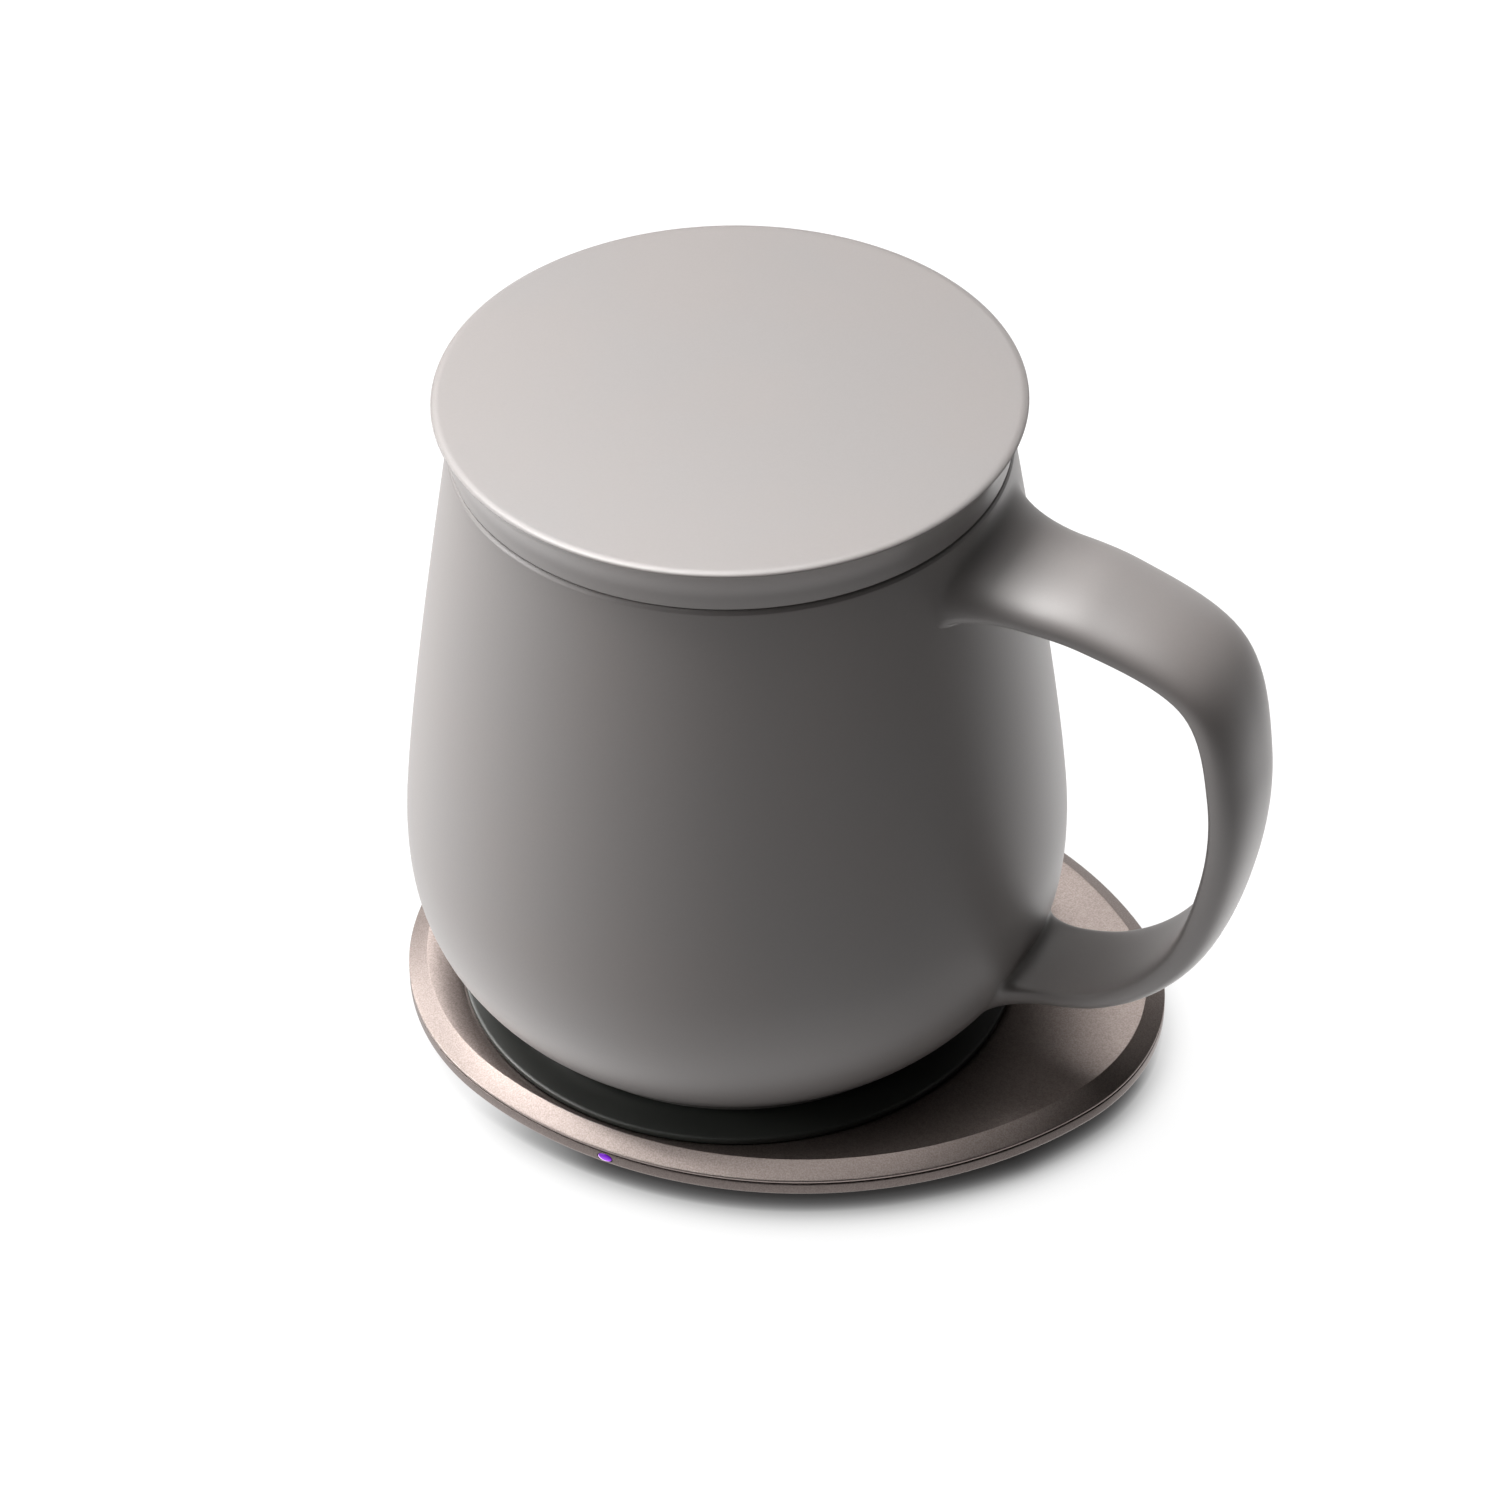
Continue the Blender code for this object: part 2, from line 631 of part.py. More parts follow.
def build_transmitter(materials, parent):
    """Build the carrier, its ferrite sheet, the coil and the temperature sensor."""
    inner_radius = CARRIER_RADIUS - CARRIER_WALL
    floor_top = CARRIER_BOTTOM + CARRIER_FLOOR
    carrier = (
        (CARRIER_RADIUS, CARRIER_BOTTOM),
        (CARRIER_RADIUS, COIL_TOP),
        (inner_radius, COIL_TOP),
        (inner_radius, floor_top),
    )
    ferrite = ((FERRITE_RADIUS, FERRITE_BOTTOM), (FERRITE_RADIUS, FERRITE_BOTTOM + FERRITE_THICKNESS))
    sensor = ((SENSOR_RADIUS, COIL_BOTTOM), (SENSOR_RADIUS, COIL_BOTTOM + SENSOR_HEIGHT))
    add_object("coil_carrier", lathe(carrier, PLAIN_SEGMENTS), materials["polymer"], parent)
    add_object("transmitter_ferrite", lathe(ferrite, PLAIN_SEGMENTS), materials["ferrite"], parent)
    copper = materials["copper"]
    coil_radius = FERRITE_RADIUS - COIL_EDGE
    build_coil("transmitter_coil", COIL_HOLE_RADIUS, coil_radius, COIL_BOTTOM, copper, parent)
    add_object("coaster_thermistor", lathe(sensor, HOLE_SEGMENTS), materials["sensor"], parent)


def build_board(material, parent):
    """Build the board that runs round the coil, with screw holes and the inlet's notch."""
    rings = [
        outline_ring(BOARD_INSET, BOARD_BOTTOM),
        outline_ring(BOARD_INSET, BOARD_TOP),
        round_ring(BOARD_HOLE_RADIUS, BOARD_TOP),
        round_ring(BOARD_HOLE_RADIUS, BOARD_BOTTOM),
    ]
    bm = bmesh.new()
    loft(bm, rings, closed=True)
    board = add_object("coaster_board", bm, material, parent)
    cuts = bmesh.new()
    for place in screw_places().values():
        hole = (
            (SCREW_HOLE_RADIUS, BOARD_BOTTOM - CUT_OVERRUN),
            (SCREW_HOLE_RADIUS, BOARD_TOP + CUT_OVERRUN),
        )
        turn_profile(cuts, hole, HOLE_SEGMENTS, place)
    mouth, outward = port_mouth()
    notch_length = PORT_LENGTH + FIT_GAP + CUT_OVERRUN
    centre = mouth - outward * (notch_length / 2 - CUT_OVERRUN)
    centre.z = (BOARD_BOTTOM + BOARD_TOP) / 2
    size = (PORT_WIDTH + 2 * FIT_GAP, notch_length, BOARD_THICKNESS + 2 * CUT_OVERRUN)
    add_box(cuts, size, centre)
    apply_guide(board, add_guide("board_cuts_guide", cuts, parent), "DIFFERENCE")
    return board


def build_board_parts(material, parent):
    """Build the inductor, the chips and the capacitors on the tip of the board."""
    bottom = BOARD_TOP + FIT_GAP
    board_tip = TIP_CENTRE.x + TIP_RADIUS - BOARD_INSET
    land = board_tip - BOARD_HOLE_RADIUS
    half_width = TIP_RADIUS - BOARD_INSET
    kinds = (
        (INDUCTOR_PLACE_SHARES, (INDUCTOR_SIZE, INDUCTOR_SIZE, INDUCTOR_HEIGHT)),
        (CHIP_PLACE_SHARES, (CHIP_SIZE, CHIP_SIZE, CHIP_HEIGHT)),
        (CAPACITOR_PLACE_SHARES, (CAPACITOR_LENGTH, CAPACITOR_WIDTH, CAPACITOR_HEIGHT)),
    )
    for shares, size in kinds:
        for name, (along, across) in shares.items():
            bm = bmesh.new()
            place = (BOARD_HOLE_RADIUS + along * land, across * half_width, bottom + size[2] / 2)
            add_box(bm, size, Vector(place))
            add_object(name, bm, material, parent)


def light_place(inset):
    """Return the middle of the light in the side band, moved inwards, and its direction."""
    return side_place(LIGHT_ANGLE, inset, LENS_HEIGHT_ABOVE_TABLE)


def build_light(materials, parent, tray, plate):
    """Build the light chip on the board and the light guide through the side band."""
    face, outward = light_place(0.0)
    length = TRAY_WALL + LENS_TAIL
    bm = bmesh.new()
    loft(bm, [slot_ring(LENS_WIDTH, LENS_HEIGHT, face, outward, reach) for reach in (-length, 0.0)])
    add_object("led_lens", bm, materials["lens"], parent)
    width = LENS_WIDTH + 2 * LENS_CLEARANCE
    height = LENS_HEIGHT + 2 * LENS_CLEARANCE
    hole = bmesh.new()
    reaches = (-length - CUT_OVERRUN, CUT_OVERRUN)
    loft(hole, [slot_ring(width, height, face, outward, reach) for reach in reaches])
    guide = add_guide("lens_hole_guide", hole, parent)
    apply_guide(tray, guide, "DIFFERENCE")
    apply_guide(plate, guide, "DIFFERENCE")
    chip = bmesh.new()
    centre, _ = light_place(BOARD_INSET + LED_EDGE + LED_DEPTH / 2)
    centre.z = BOARD_TOP + FIT_GAP + LED_HEIGHT / 2
    add_box(chip, (LED_DEPTH, LED_LENGTH, LED_HEIGHT), centre, LIGHT_ANGLE)
    add_object("status_led", chip, materials["led"], parent)


def port_mouth():
    """Return the middle of the power inlet's mouth and the direction it faces."""
    return side_place(math.pi / 2, BEVEL_INSET, PORT_CENTRE_HEIGHT)


def build_port(materials, parent, tray, plate):
    """Build the power inlet's shell with its tongue, and cut its way through both shells."""
    mouth, outward = port_mouth()
    pocket_end = PORT_BACK - PORT_LENGTH
    inner_width = PORT_WIDTH - 2 * PORT_WALL
    inner_height = PORT_HEIGHT - 2 * PORT_WALL
    bm = bmesh.new()
    rings = [slot_ring(PORT_WIDTH, PORT_HEIGHT, mouth, outward, reach) for reach in (-PORT_LENGTH, 0.0)]
    rings += [slot_ring(inner_width, inner_height, mouth, outward, reach) for reach in (0.0, pocket_end)]
    loft(bm, rings)
    add_object("usb_c_shell", bm, materials["steel"], parent)
    tongue = bmesh.new()
    tongue_length = -pocket_end - FIT_GAP - TONGUE_SETBACK
    centre = mouth - outward * (TONGUE_SETBACK + tongue_length / 2)
    add_box(tongue, (TONGUE_WIDTH, tongue_length, TONGUE_THICKNESS), centre)
    add_object("usb_c_tongue", tongue, materials["polymer"], parent)
    width = PORT_WIDTH + 2 * FIT_GAP
    height = PORT_HEIGHT + 2 * FIT_GAP
    hole = bmesh.new()
    reaches = (-BOARD_INSET, BEVEL_INSET + CUT_OVERRUN)
    loft(hole, [slot_ring(width, height, mouth, outward, reach) for reach in reaches])
    guide = add_guide("port_hole_guide", hole, parent)
    apply_guide(tray, guide, "DIFFERENCE")
    apply_guide(plate, guide, "DIFFERENCE")


def build_coaster(materials, parent):
    """Build every piece of the coaster."""
    build_base_pad(materials["silicone"], parent)
    tray = build_tray(materials["aluminium"], parent)
    plate = build_top_plate(materials["aluminium"], parent)
    build_screws(materials["steel"], parent)
    build_board(materials["board"], parent)
    build_board_parts(materials["chips"], parent)
    build_transmitter(materials, parent)
    build_light(materials, parent, tray, plate)
    build_port(materials, parent, tray, plate)
    build_charging_disc(materials["disc"], parent)


# Mug body

def bezier(knots, share):
    """Return the point of a cubic curve at a share of its run."""
    rest = 1.0 - share
    weights = (rest ** 3, 3 * rest ** 2 * share, 3 * rest * share ** 2, share ** 3)
    return sum((weight * knot for weight, knot in zip(weights, knots)), knots[0] * 0.0)


def body_curves():
    """Return the outline's two curves, foot to belly and belly to rim, as radius and height."""
    foot = Vector((FOOT_RADIUS, FOOT_EDGE))
    flare = Vector((math.cos(FOOT_FLARE_ANGLE), math.sin(FOOT_FLARE_ANGLE))) * FOOT_FLARE_REACH
    belly = Vector((BELLY_RADIUS, BELLY_HEIGHT))
    rim = Vector((RIM_RADIUS, MUG_HEIGHT))
    lower = (foot, foot + flare, belly - Vector((0.0, BELLY_REACH_DOWN)), belly)
    upper = (belly, belly + Vector((0.0, BELLY_REACH_UP)), rim, rim)
    return lower, upper


def body_radius(height):
    """Return the mug's outer radius at a height between its foot's edge and its rim."""
    lower, upper = body_curves()
    curve = lower if height < BELLY_HEIGHT else upper
    low = 0.0
    high = 1.0
    for _ in range(40):
        middle = (low + high) / 2
        if bezier(curve, middle).y < height:
            low = middle
        else:
            high = middle
    return bezier(curve, low).x


def section_shares():
    """Return the strap's section as shares of half its width and of its thickness."""
    shares = []
    for index in range(SECTION_POINTS):
        angle = math.tau * index / SECTION_POINTS
        across = math.cos(angle)
        out = math.sin(angle)
        outer = index <= SECTION_POINTS // 2
        power = 2.0 / (OUTER_FACE_POWER if outer else INNER_FACE_POWER)
        depth_share = OUTER_FACE_SHARE if outer else 1.0 - OUTER_FACE_SHARE
        across_share = math.copysign(abs(across) ** power, across)
        out_share = math.copysign(abs(out) ** power, out) * depth_share
        shares.append((across_share, out_share))
    return shares


def handle_centre(share):
    """Return a point of the handle's centre line, as reach and height, by a share of its run.

    The line passes smoothly through the hand chosen points, with slopes taken from the
    neighbours of each point.
    """
    rise = HANDLE_TOP_HEIGHT - HANDLE_LOW_HEIGHT
    points = [
        Vector((HANDLE_REACH * reach, HANDLE_LOW_HEIGHT + rise * height))
        for reach, height in HANDLE_PATH_SHARES
    ]
    points = [2 * points[0] - points[1]] + points + [2 * points[-1] - points[-2]]
    span = share * (len(points) - 3)
    first = min(int(span), len(points) - 4)
    step = span - first
    before, start, end, after = points[first:first + 4]
    knots = (start, start + (end - before) / 6, end - (after - start) / 6, end)
    return bezier(knots, step)


class HandleFrame:
    """Places the strap's section at a share of the handle's run."""

    def __init__(self, share):
        """Find the centre, the directions and the width at a share of the run."""
        step = 0.002
        turn = HANDLE_AZIMUTH
        centre = handle_centre(share)
        ahead = (handle_centre(min(share + step, 1.0)) - handle_centre(max(share - step, 0.0))).normalized()
        self.radial = Vector((math.cos(turn), math.sin(turn), 0.0))
        self.across = Vector((-math.sin(turn), math.cos(turn), 0.0))
        self.centre = self.radial * centre.x + Vector((0.0, 0.0, centre.y))
        self.ahead = self.radial * ahead.x + Vector((0.0, 0.0, ahead.y))
        self.out = self.radial * -ahead.y + Vector((0.0, 0.0, ahead.x))
        taper = (1.0 - share) ** 2
        self.width = HANDLE_LOW_WIDTH + (HANDLE_TOP_WIDTH - HANDLE_LOW_WIDTH) * taper

    def ring(self, side=0.0, outer_spread=0.0, inner_spread=0.0):
        """Return the section's points, spread to the sides, outwards and inwards."""
        half = self.width / 2
        points = []
        for across, out in section_shares():
            outer = out >= 0.0
            power = OUTER_FACE_POWER if outer else INNER_FACE_POWER
            depth = HANDLE_THICKNESS * (OUTER_FACE_SHARE if outer else 1.0 - OUTER_FACE_SHARE)
            depth_share = abs(out) * HANDLE_THICKNESS / depth
            slope_across = math.copysign(abs(across) ** (power - 1), across) / half
            slope_out = math.copysign(depth_share ** (power - 1), out) / depth
            normal = Vector((slope_across, slope_out)).normalized()
            spread = outer_spread if outer else inner_spread
            shift = self.across * (across * half + normal.x * side)
            shift += self.out * (out * HANDLE_THICKNESS + normal.y * spread)
            points.append(self.centre + shift)
        return points


def meet_body(point, direction):
    """Return where a line from outside the mug first meets its outer surface."""
    near = 0.0
    far = BELLY_RADIUS
    for _ in range(40):
        middle = (near + far) / 2
        place = point + direction * middle
        height = min(max(place.z, FOOT_EDGE), MUG_HEIGHT)
        if math.hypot(place.x, place.y) > body_radius(height):
            near = middle
        else:
            far = middle
    return point + direction * near


def root_share(from_top):
    """Return the share of the handle's run where the fillet at one root ends."""
    start = 0.0 if from_top else 1.0
    sign = 1.0 if from_top else -1.0
    samples = 400
    run = 0.0
    previous = handle_centre(start)
    for index in range(1, samples):
        share = start + sign * index / samples
        point = handle_centre(share)
        if point.x > body_radius(point.y):
            run += (point - previous).length
        if run > (TOP_ROOT_REACH if from_top else LOW_ROOT_REACH):
            return share
        previous = point
    return 0.5


def fillet_rings(frame, toward_body, spreads):
    """Return the rings of a root's fillet, from the mug's surface to the strap."""
    strap = frame.ring()
    wide = frame.ring(*spreads)
    rows = [[] for _ in range(FILLET_STEPS)]
    for start, spread in zip(strap, wide):
        corner = meet_body(start, toward_body)
        edge = meet_body(spread, toward_body)
        knots = (
            edge,
            edge.lerp(corner, FILLET_FULLNESS_SHARE),
            start.lerp(corner, FILLET_FULLNESS_SHARE),
            start,
        )
        for step in range(FILLET_STEPS):
            rows[step].append(bezier(knots, step / FILLET_STEPS))
    return rows


def spaced(start, end, steps):
    """Return evenly spaced values from start to end, both included."""
    return [start + (end - start) * index / steps for index in range(steps + 1)]


def root_band(rows):
    """Return the heights between which a root's edge lies, with its margin."""
    heights = [point.z for point in rows[0]]
    return min(heights) - ROOT_MARGIN, max(heights) + ROOT_MARGIN


def rim_profile():
    """Return the rounded rim from its outer side over the top to its inner side."""
    drop = MUG_HEIGHT - RIM_ROUND
    profile = [(body_radius(drop), drop)]
    for centre, start in ((RIM_RADIUS - RIM_ROUND, 0.0), (MOUTH_RADIUS + RIM_ROUND, math.pi / 2)):
        for index in (1, 2, 3) if start == 0.0 else (0, 1, 2):
            angle = start + index * math.pi / 6
            profile.append((centre + RIM_ROUND * math.cos(angle), drop + RIM_ROUND * math.sin(angle)))
    return profile


def cup_profile():
    """Return the inside of the cup from under the rim down to its flat floor."""
    drop = MUG_HEIGHT - RIM_ROUND
    corner_top = CUP_FLOOR_HEIGHT + CUP_CORNER
    heights = spaced(drop, corner_top, CUP_ROWS)
    profile = [(body_radius(height) - MUG_WALL, height) for height in heights]
    centre = profile[-1][0] - CUP_CORNER
    for index in range(1, CORNER_STEPS + 1):
        angle = math.pi / 2 * index / CORNER_STEPS
        profile.append((centre + CUP_CORNER * math.cos(angle), corner_top - CUP_CORNER * math.sin(angle)))
    return profile


def body_circle(radius, height):
    """Return a level circle whose columns are symmetric about the handle."""
    turn = math.tau / BODY_COLUMNS
    angles = [HANDLE_AZIMUTH + turn * column for column in range(BODY_COLUMNS)]
    return [Vector((radius * math.cos(angle), radius * math.sin(angle), height)) for angle in angles]


def patch_loop(grid, rows, columns, downward):
    """Return the grid's vertices round a root's patch, in the order of the strap's section.

    The loop starts at the middle of the patch's far side, where the section's first point
    lies, and runs towards the side that the strap's outer face meets.
    """
    first, last = rows
    middle = (first + last) // 2
    half = columns // 2
    ends = (first, last) if downward else (last, first)
    step = -1 if downward else 1
    places = [(row, half) for row in range(middle, ends[0], step)]
    places += [(ends[0], column) for column in range(half, -half, -1)]
    places += [(row, -half) for row in range(ends[0], ends[1], -step)]
    places += [(ends[1], column) for column in range(-half, half)]
    places += [(row, half) for row in range(ends[1], middle, step)]
    return [grid[row][column % BODY_COLUMNS] for row, column in places]


def inside_patch(row, column, rows, columns):
    """Tell whether a grid cell lies in a root's patch."""
    offset = (column + columns // 2) % BODY_COLUMNS
    return rows[0] <= row < rows[1] and offset < columns


def build_mug_body(material, parent):
    """Build the ceramic body, its cup, its foot recess and the handle, fired in one piece."""
    shares = spaced(root_share(True), root_share(False), HANDLE_STATIONS)
    frames = [HandleFrame(share) for share in shares]
    top_spreads = (TOP_FILLET_SIDE, TOP_FILLET_OUTER, TOP_FILLET_INNER)
    low_spreads = (LOW_FILLET_SIDE, LOW_FILLET_OUTER, LOW_FILLET_INNER)
    top_rows = fillet_rings(frames[0], -frames[0].ahead, top_spreads)
    low_rows = fillet_rings(frames[-1], frames[-1].ahead, low_spreads)
    low_band = root_band(low_rows)
    top_band = root_band(top_rows)
    low_heights = spaced(*low_band, LOW_ROOT_ROWS)
    waist_heights = spaced(low_band[1], top_band[0], WAIST_ROWS)[1:-1]
    top_heights = spaced(*top_band, TOP_ROOT_ROWS)
    heights = [FOOT_EDGE, (FOOT_EDGE + low_band[0]) / 2] + low_heights + waist_heights + top_heights
    foot_inner = FOOT_RECESS_RADIUS + FIT_GAP
    foot_outer = FOOT_RADIUS - FOOT_EDGE / 2
    under = [(FOOT_RECESS_RADIUS, FOOT_RECESS_DEPTH), (FOOT_RECESS_RADIUS, FIT_GAP), (foot_inner, 0.0)]
    under += [(foot_outer, 0.0), (FOOT_RADIUS - FOOT_EDGE / 8, FOOT_EDGE / 3)]
    profile = under + [(body_radius(height), height) for height in heights]
    profile += rim_profile() + cup_profile()[1:]

    bm = bmesh.new()
    grid = [[bm.verts.new(point) for point in body_circle(*ring)] for ring in profile]
    low_first = len(under) + 2
    low_patch = (low_first, low_first + LOW_ROOT_ROWS)
    top_first = low_patch[1] + WAIST_ROWS
    top_patch = (top_first, top_first + TOP_ROOT_ROWS)
    for row in range(len(grid) - 1):
        for column in range(BODY_COLUMNS):
            if inside_patch(row, column, low_patch, LOW_ROOT_COLUMNS):
                continue
            if inside_patch(row, column, top_patch, TOP_ROOT_COLUMNS):
                continue
            following = (column + 1) % BODY_COLUMNS
            below = (grid[row][column], grid[row][following])
            above = (grid[row + 1][following], grid[row + 1][column])
            bm.faces.new(below + above)
    bm.faces.new(grid[0])
    bm.faces.new(grid[-1])

    rings = top_rows + [frame.ring() for frame in frames] + list(reversed(low_rows))
    tube = [[bm.verts.new(point) for point in ring] for ring in rings]
    for lower, upper in zip(tube, tube[1:]):
        skin(bm, lower, upper)
    skin(bm, patch_loop(grid, top_patch, TOP_ROOT_COLUMNS, False), tube[0])
    skin(bm, tube[-1], patch_loop(grid, low_patch, LOW_ROOT_COLUMNS, True))
    loose = [vert for vert in bm.verts if not vert.link_faces]
    bmesh.ops.delete(bm, geom=loose, context="VERTS")
    return add_object("mug_body", bm, material, parent)


# Mug heating module

def build_module(materials, parent):
    """Build the heater, the electronics and the cap that closes the recess in the foot."""
    flange_top = CAP_FLOOR_TOP
    cap = (
        (CAP_RADIUS - CAP_EDGE, CAP_RISE),
        (CAP_RADIUS, CAP_RISE + CAP_EDGE),
        (CAP_RADIUS, flange_top),
        (CAP_WALL_RADIUS, flange_top),
        (CAP_WALL_RADIUS, INSULATION_TOP),
        (CAP_INNER_RADIUS, INSULATION_TOP),
        (CAP_INNER_RADIUS, flange_top),
    )
    add_object("base_cap", lathe(cap, FINE_SEGMENTS), materials["polymer"], parent)
    gasket_bottom = flange_top + FIT_GAP
    gasket_inner = CAP_WALL_RADIUS + FIT_GAP
    gasket = (
        (gasket_inner, gasket_bottom),
        (CAP_RADIUS, gasket_bottom),
        (CAP_RADIUS, gasket_bottom + GASKET_HEIGHT),
        (gasket_inner, gasket_bottom + GASKET_HEIGHT),
    )
    add_object("base_gasket", lathe(gasket, FINE_SEGMENTS, closed=True), materials["silicone"], parent)
    copper = materials["copper"]
    coil_radius = MODULE_RADIUS - COIL_EDGE
    build_coil("receiver_coil", MUG_COIL_HOLE_RADIUS, coil_radius, MUG_COIL_BOTTOM, copper, parent)
    discs = (
        ("receiver_ferrite", MUG_FERRITE_BOTTOM, FERRITE_THICKNESS, MODULE_RADIUS, "ferrite"),
        ("mug_board", MUG_BOARD_BOTTOM, BOARD_THICKNESS, MODULE_RADIUS, "board"),
        ("heater_plate", HEATER_BOTTOM, HEATER_THICKNESS, HEATER_RADIUS, "heater"),
    )
    for name, bottom, thickness, radius, look in discs:
        profile = ((radius, bottom), (radius, bottom + thickness))
        add_object(name, lathe(profile, PLAIN_SEGMENTS), materials[look], parent)
    build_insulation(materials, parent)
    build_mug_parts(materials["chips"], parent)


def build_insulation(materials, parent):
    """Build the insulation and the temperature sensor in its middle, under the heater."""
    hole_radius = MUG_SENSOR_RADIUS + FIT_GAP
    insulation = (
        (hole_radius, INSULATION_BOTTOM),
        (MODULE_RADIUS, INSULATION_BOTTOM),
        (MODULE_RADIUS, INSULATION_TOP),
        (hole_radius, INSULATION_TOP),
    )
    bm = lathe(insulation, PLAIN_SEGMENTS, closed=True)
    add_object("insulation_disc", bm, materials["insulation"], parent)
    sensor = ((MUG_SENSOR_RADIUS, INSULATION_BOTTOM), (MUG_SENSOR_RADIUS, INSULATION_TOP))
    add_object("mug_thermistor", lathe(sensor, HOLE_SEGMENTS), materials["sensor"], parent)


def build_mug_parts(material, parent):
    """Build the parts on the mug's board, spaced evenly round a circle."""
    ring_radius = MODULE_RADIUS * MUG_PART_RING_SHARE
    size = (MUG_PART_SIZE, MUG_PART_SIZE, MUG_PART_HEIGHT)
    height = MUG_PARTS_BOTTOM + MUG_PART_HEIGHT / 2
    for index, name in enumerate(MUG_PART_NAMES):
        angle = math.tau * index / len(MUG_PART_NAMES)
        centre = Vector((ring_radius * math.cos(angle), ring_radius * math.sin(angle), height))
        bm = bmesh.new()
        add_box(bm, size, centre, angle)
        add_object(name, bm, material, parent)


# Lid

def lid_side():
    """Return the lid's side: a short waist, then a flare out to the rounded edge."""
    profile = [(RIM_RADIUS - LID_FOOT_EDGE, 0.0), (RIM_RADIUS, LID_FOOT_EDGE)]
    flare_width = LID_EDGE_RADIUS - RIM_RADIUS
    flare_height = LID_EDGE_HEIGHT - LID_WAIST_HEIGHT
    for index in range(LID_FLARE_STEPS + 1):
        share = index / LID_FLARE_STEPS
        radius = RIM_RADIUS + flare_width * share ** LID_FLARE_POWER
        profile.append((radius, LID_WAIST_HEIGHT + flare_height * share))
    for index in (1, 2, 3):
        angle = index * math.pi / 6
        reach = LID_EDGE_RADIUS - LID_EDGE_ROUND + LID_EDGE_ROUND * math.cos(angle)
        profile.append((reach, LID_EDGE_HEIGHT + LID_EDGE_ROUND * math.sin(angle)))
    return profile


def lid_crown(height, rise):
    """Return a shallow dome that runs inwards from the lid's edge, without its middle."""
    edge = LID_EDGE_RADIUS - LID_EDGE_ROUND
    return [(edge * share, height + rise * (1.0 - share ** 2)) for share in (0.7, 0.3)]


def build_lid(materials, parent):
    """Build the ceramic lid with the plug ring under it, and the seal in the plug's groove."""
    edge_top = LID_EDGE_HEIGHT + LID_EDGE_ROUND
    plug_inner = PLUG_RADIUS - PLUG_WALL
    groove_radius = PLUG_RADIUS - GROOVE_DEPTH
    groove_bottom = -GROOVE_TOP - GROOVE_HEIGHT
    ceiling = edge_top - LID_WALL
    plug = [
        (plug_inner - PLUG_EDGE, ceiling),
        (plug_inner, ceiling - PLUG_EDGE),
        (plug_inner, PLUG_EDGE - PLUG_DEPTH),
        (plug_inner + PLUG_EDGE, -PLUG_DEPTH),
        (PLUG_RADIUS - PLUG_EDGE, -PLUG_DEPTH),
        (PLUG_RADIUS, PLUG_EDGE - PLUG_DEPTH),
        (PLUG_RADIUS, groove_bottom),
        (groove_radius, groove_bottom),
        (groove_radius, -GROOVE_TOP),
        (PLUG_RADIUS, -GROOVE_TOP),
        (PLUG_RADIUS, 0.0),
    ]
    profile = plug + lid_side() + lid_crown(edge_top, LID_CROWN_RISE)
    add_object("lid_cap", lathe(profile, FINE_SEGMENTS), materials["ceramic"], parent)
    inner = groove_radius + FIT_GAP
    outer = PLUG_RADIUS + SEAL_STAND
    bottom = groove_bottom + FIT_GAP
    height = GROOVE_HEIGHT - 2 * FIT_GAP
    valley = outer - SEAL_STAND
    seal = (
        (inner, bottom),
        (valley, bottom),
        (outer, bottom + height * 0.25),
        (valley, bottom + height * 0.5),
        (outer, bottom + height * 0.75),
        (valley, bottom + height),
        (inner, bottom + height),
    )
    add_object("lid_seal", lathe(seal, FINE_SEGMENTS, closed=True), materials["silicone"], parent)


# Whole object

def make_materials():
    """Return the materials by the name of what they are."""
    return {
        "ceramic": make_material("warm_grey_ceramic", (0.30, 0.28, 0.265), 0.38),
        "aluminium": make_material("bead_blasted_aluminium", (0.56, 0.50, 0.475), 0.42, 0.9),
        "disc": make_material("dark_disc", (0.022, 0.025, 0.023), 0.35),
        "silicone": make_material("grey_silicone", (0.10, 0.10, 0.10), 0.7),
        "polymer": make_material("black_polymer", (0.03, 0.03, 0.03), 0.55),
        "ferrite": make_material("ferrite", (0.05, 0.048, 0.046), 0.6),
        "copper": make_material("copper_winding", (0.72, 0.34, 0.20), 0.35, 1.0),
        "sensor": make_material("glass_bead_sensor", (0.45, 0.24, 0.10), 0.3),
        "board": make_material("circuit_board", (0.015, 0.09, 0.035), 0.5),
        "chips": make_material("board_parts", (0.04, 0.04, 0.045), 0.5),
        "steel": make_material("steel", (0.55, 0.55, 0.56), 0.3, 1.0),
        "lens": make_material("violet_lens", (0.45, 0.10, 0.80), 0.2),
        "led": make_material("light_chip", (0.80, 0.80, 0.75), 0.4),
        "heater": make_material("film_heater", (0.55, 0.22, 0.04), 0.4),
        "insulation": make_material("insulation", (0.62, 0.60, 0.55), 0.9),
    }


def main():
    """Build the coaster, the mug and the lid."""
    clear_scene()
    materials = make_materials()
    coaster = add_empty("coaster", 0.0)
    mug = add_empty("mug", MUG_REST_HEIGHT, coaster)
    lid = add_empty("lid", MUG_HEIGHT + FIT_GAP, mug)
    build_coaster(materials, coaster)
    build_mug_body(materials["ceramic"], mug)
    build_module(materials, mug)
    build_lid(materials, lid)


if __name__ == "__main__":
    main()
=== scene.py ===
"""Looks of a self heating ceramic mug, its lid and its charging coaster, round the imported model.

The mug's axis is Z, the table lies at height zero and the coaster's long axis is X. Lengths are
metres. Every piece that can be seen is made again here with a fine surface and stands for the
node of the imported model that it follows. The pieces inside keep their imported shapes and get
finishes.
"""

from __future__ import annotations

import logging
import math
from dataclasses import dataclass, field
from enum import Enum
from typing import Any, Callable, Sequence

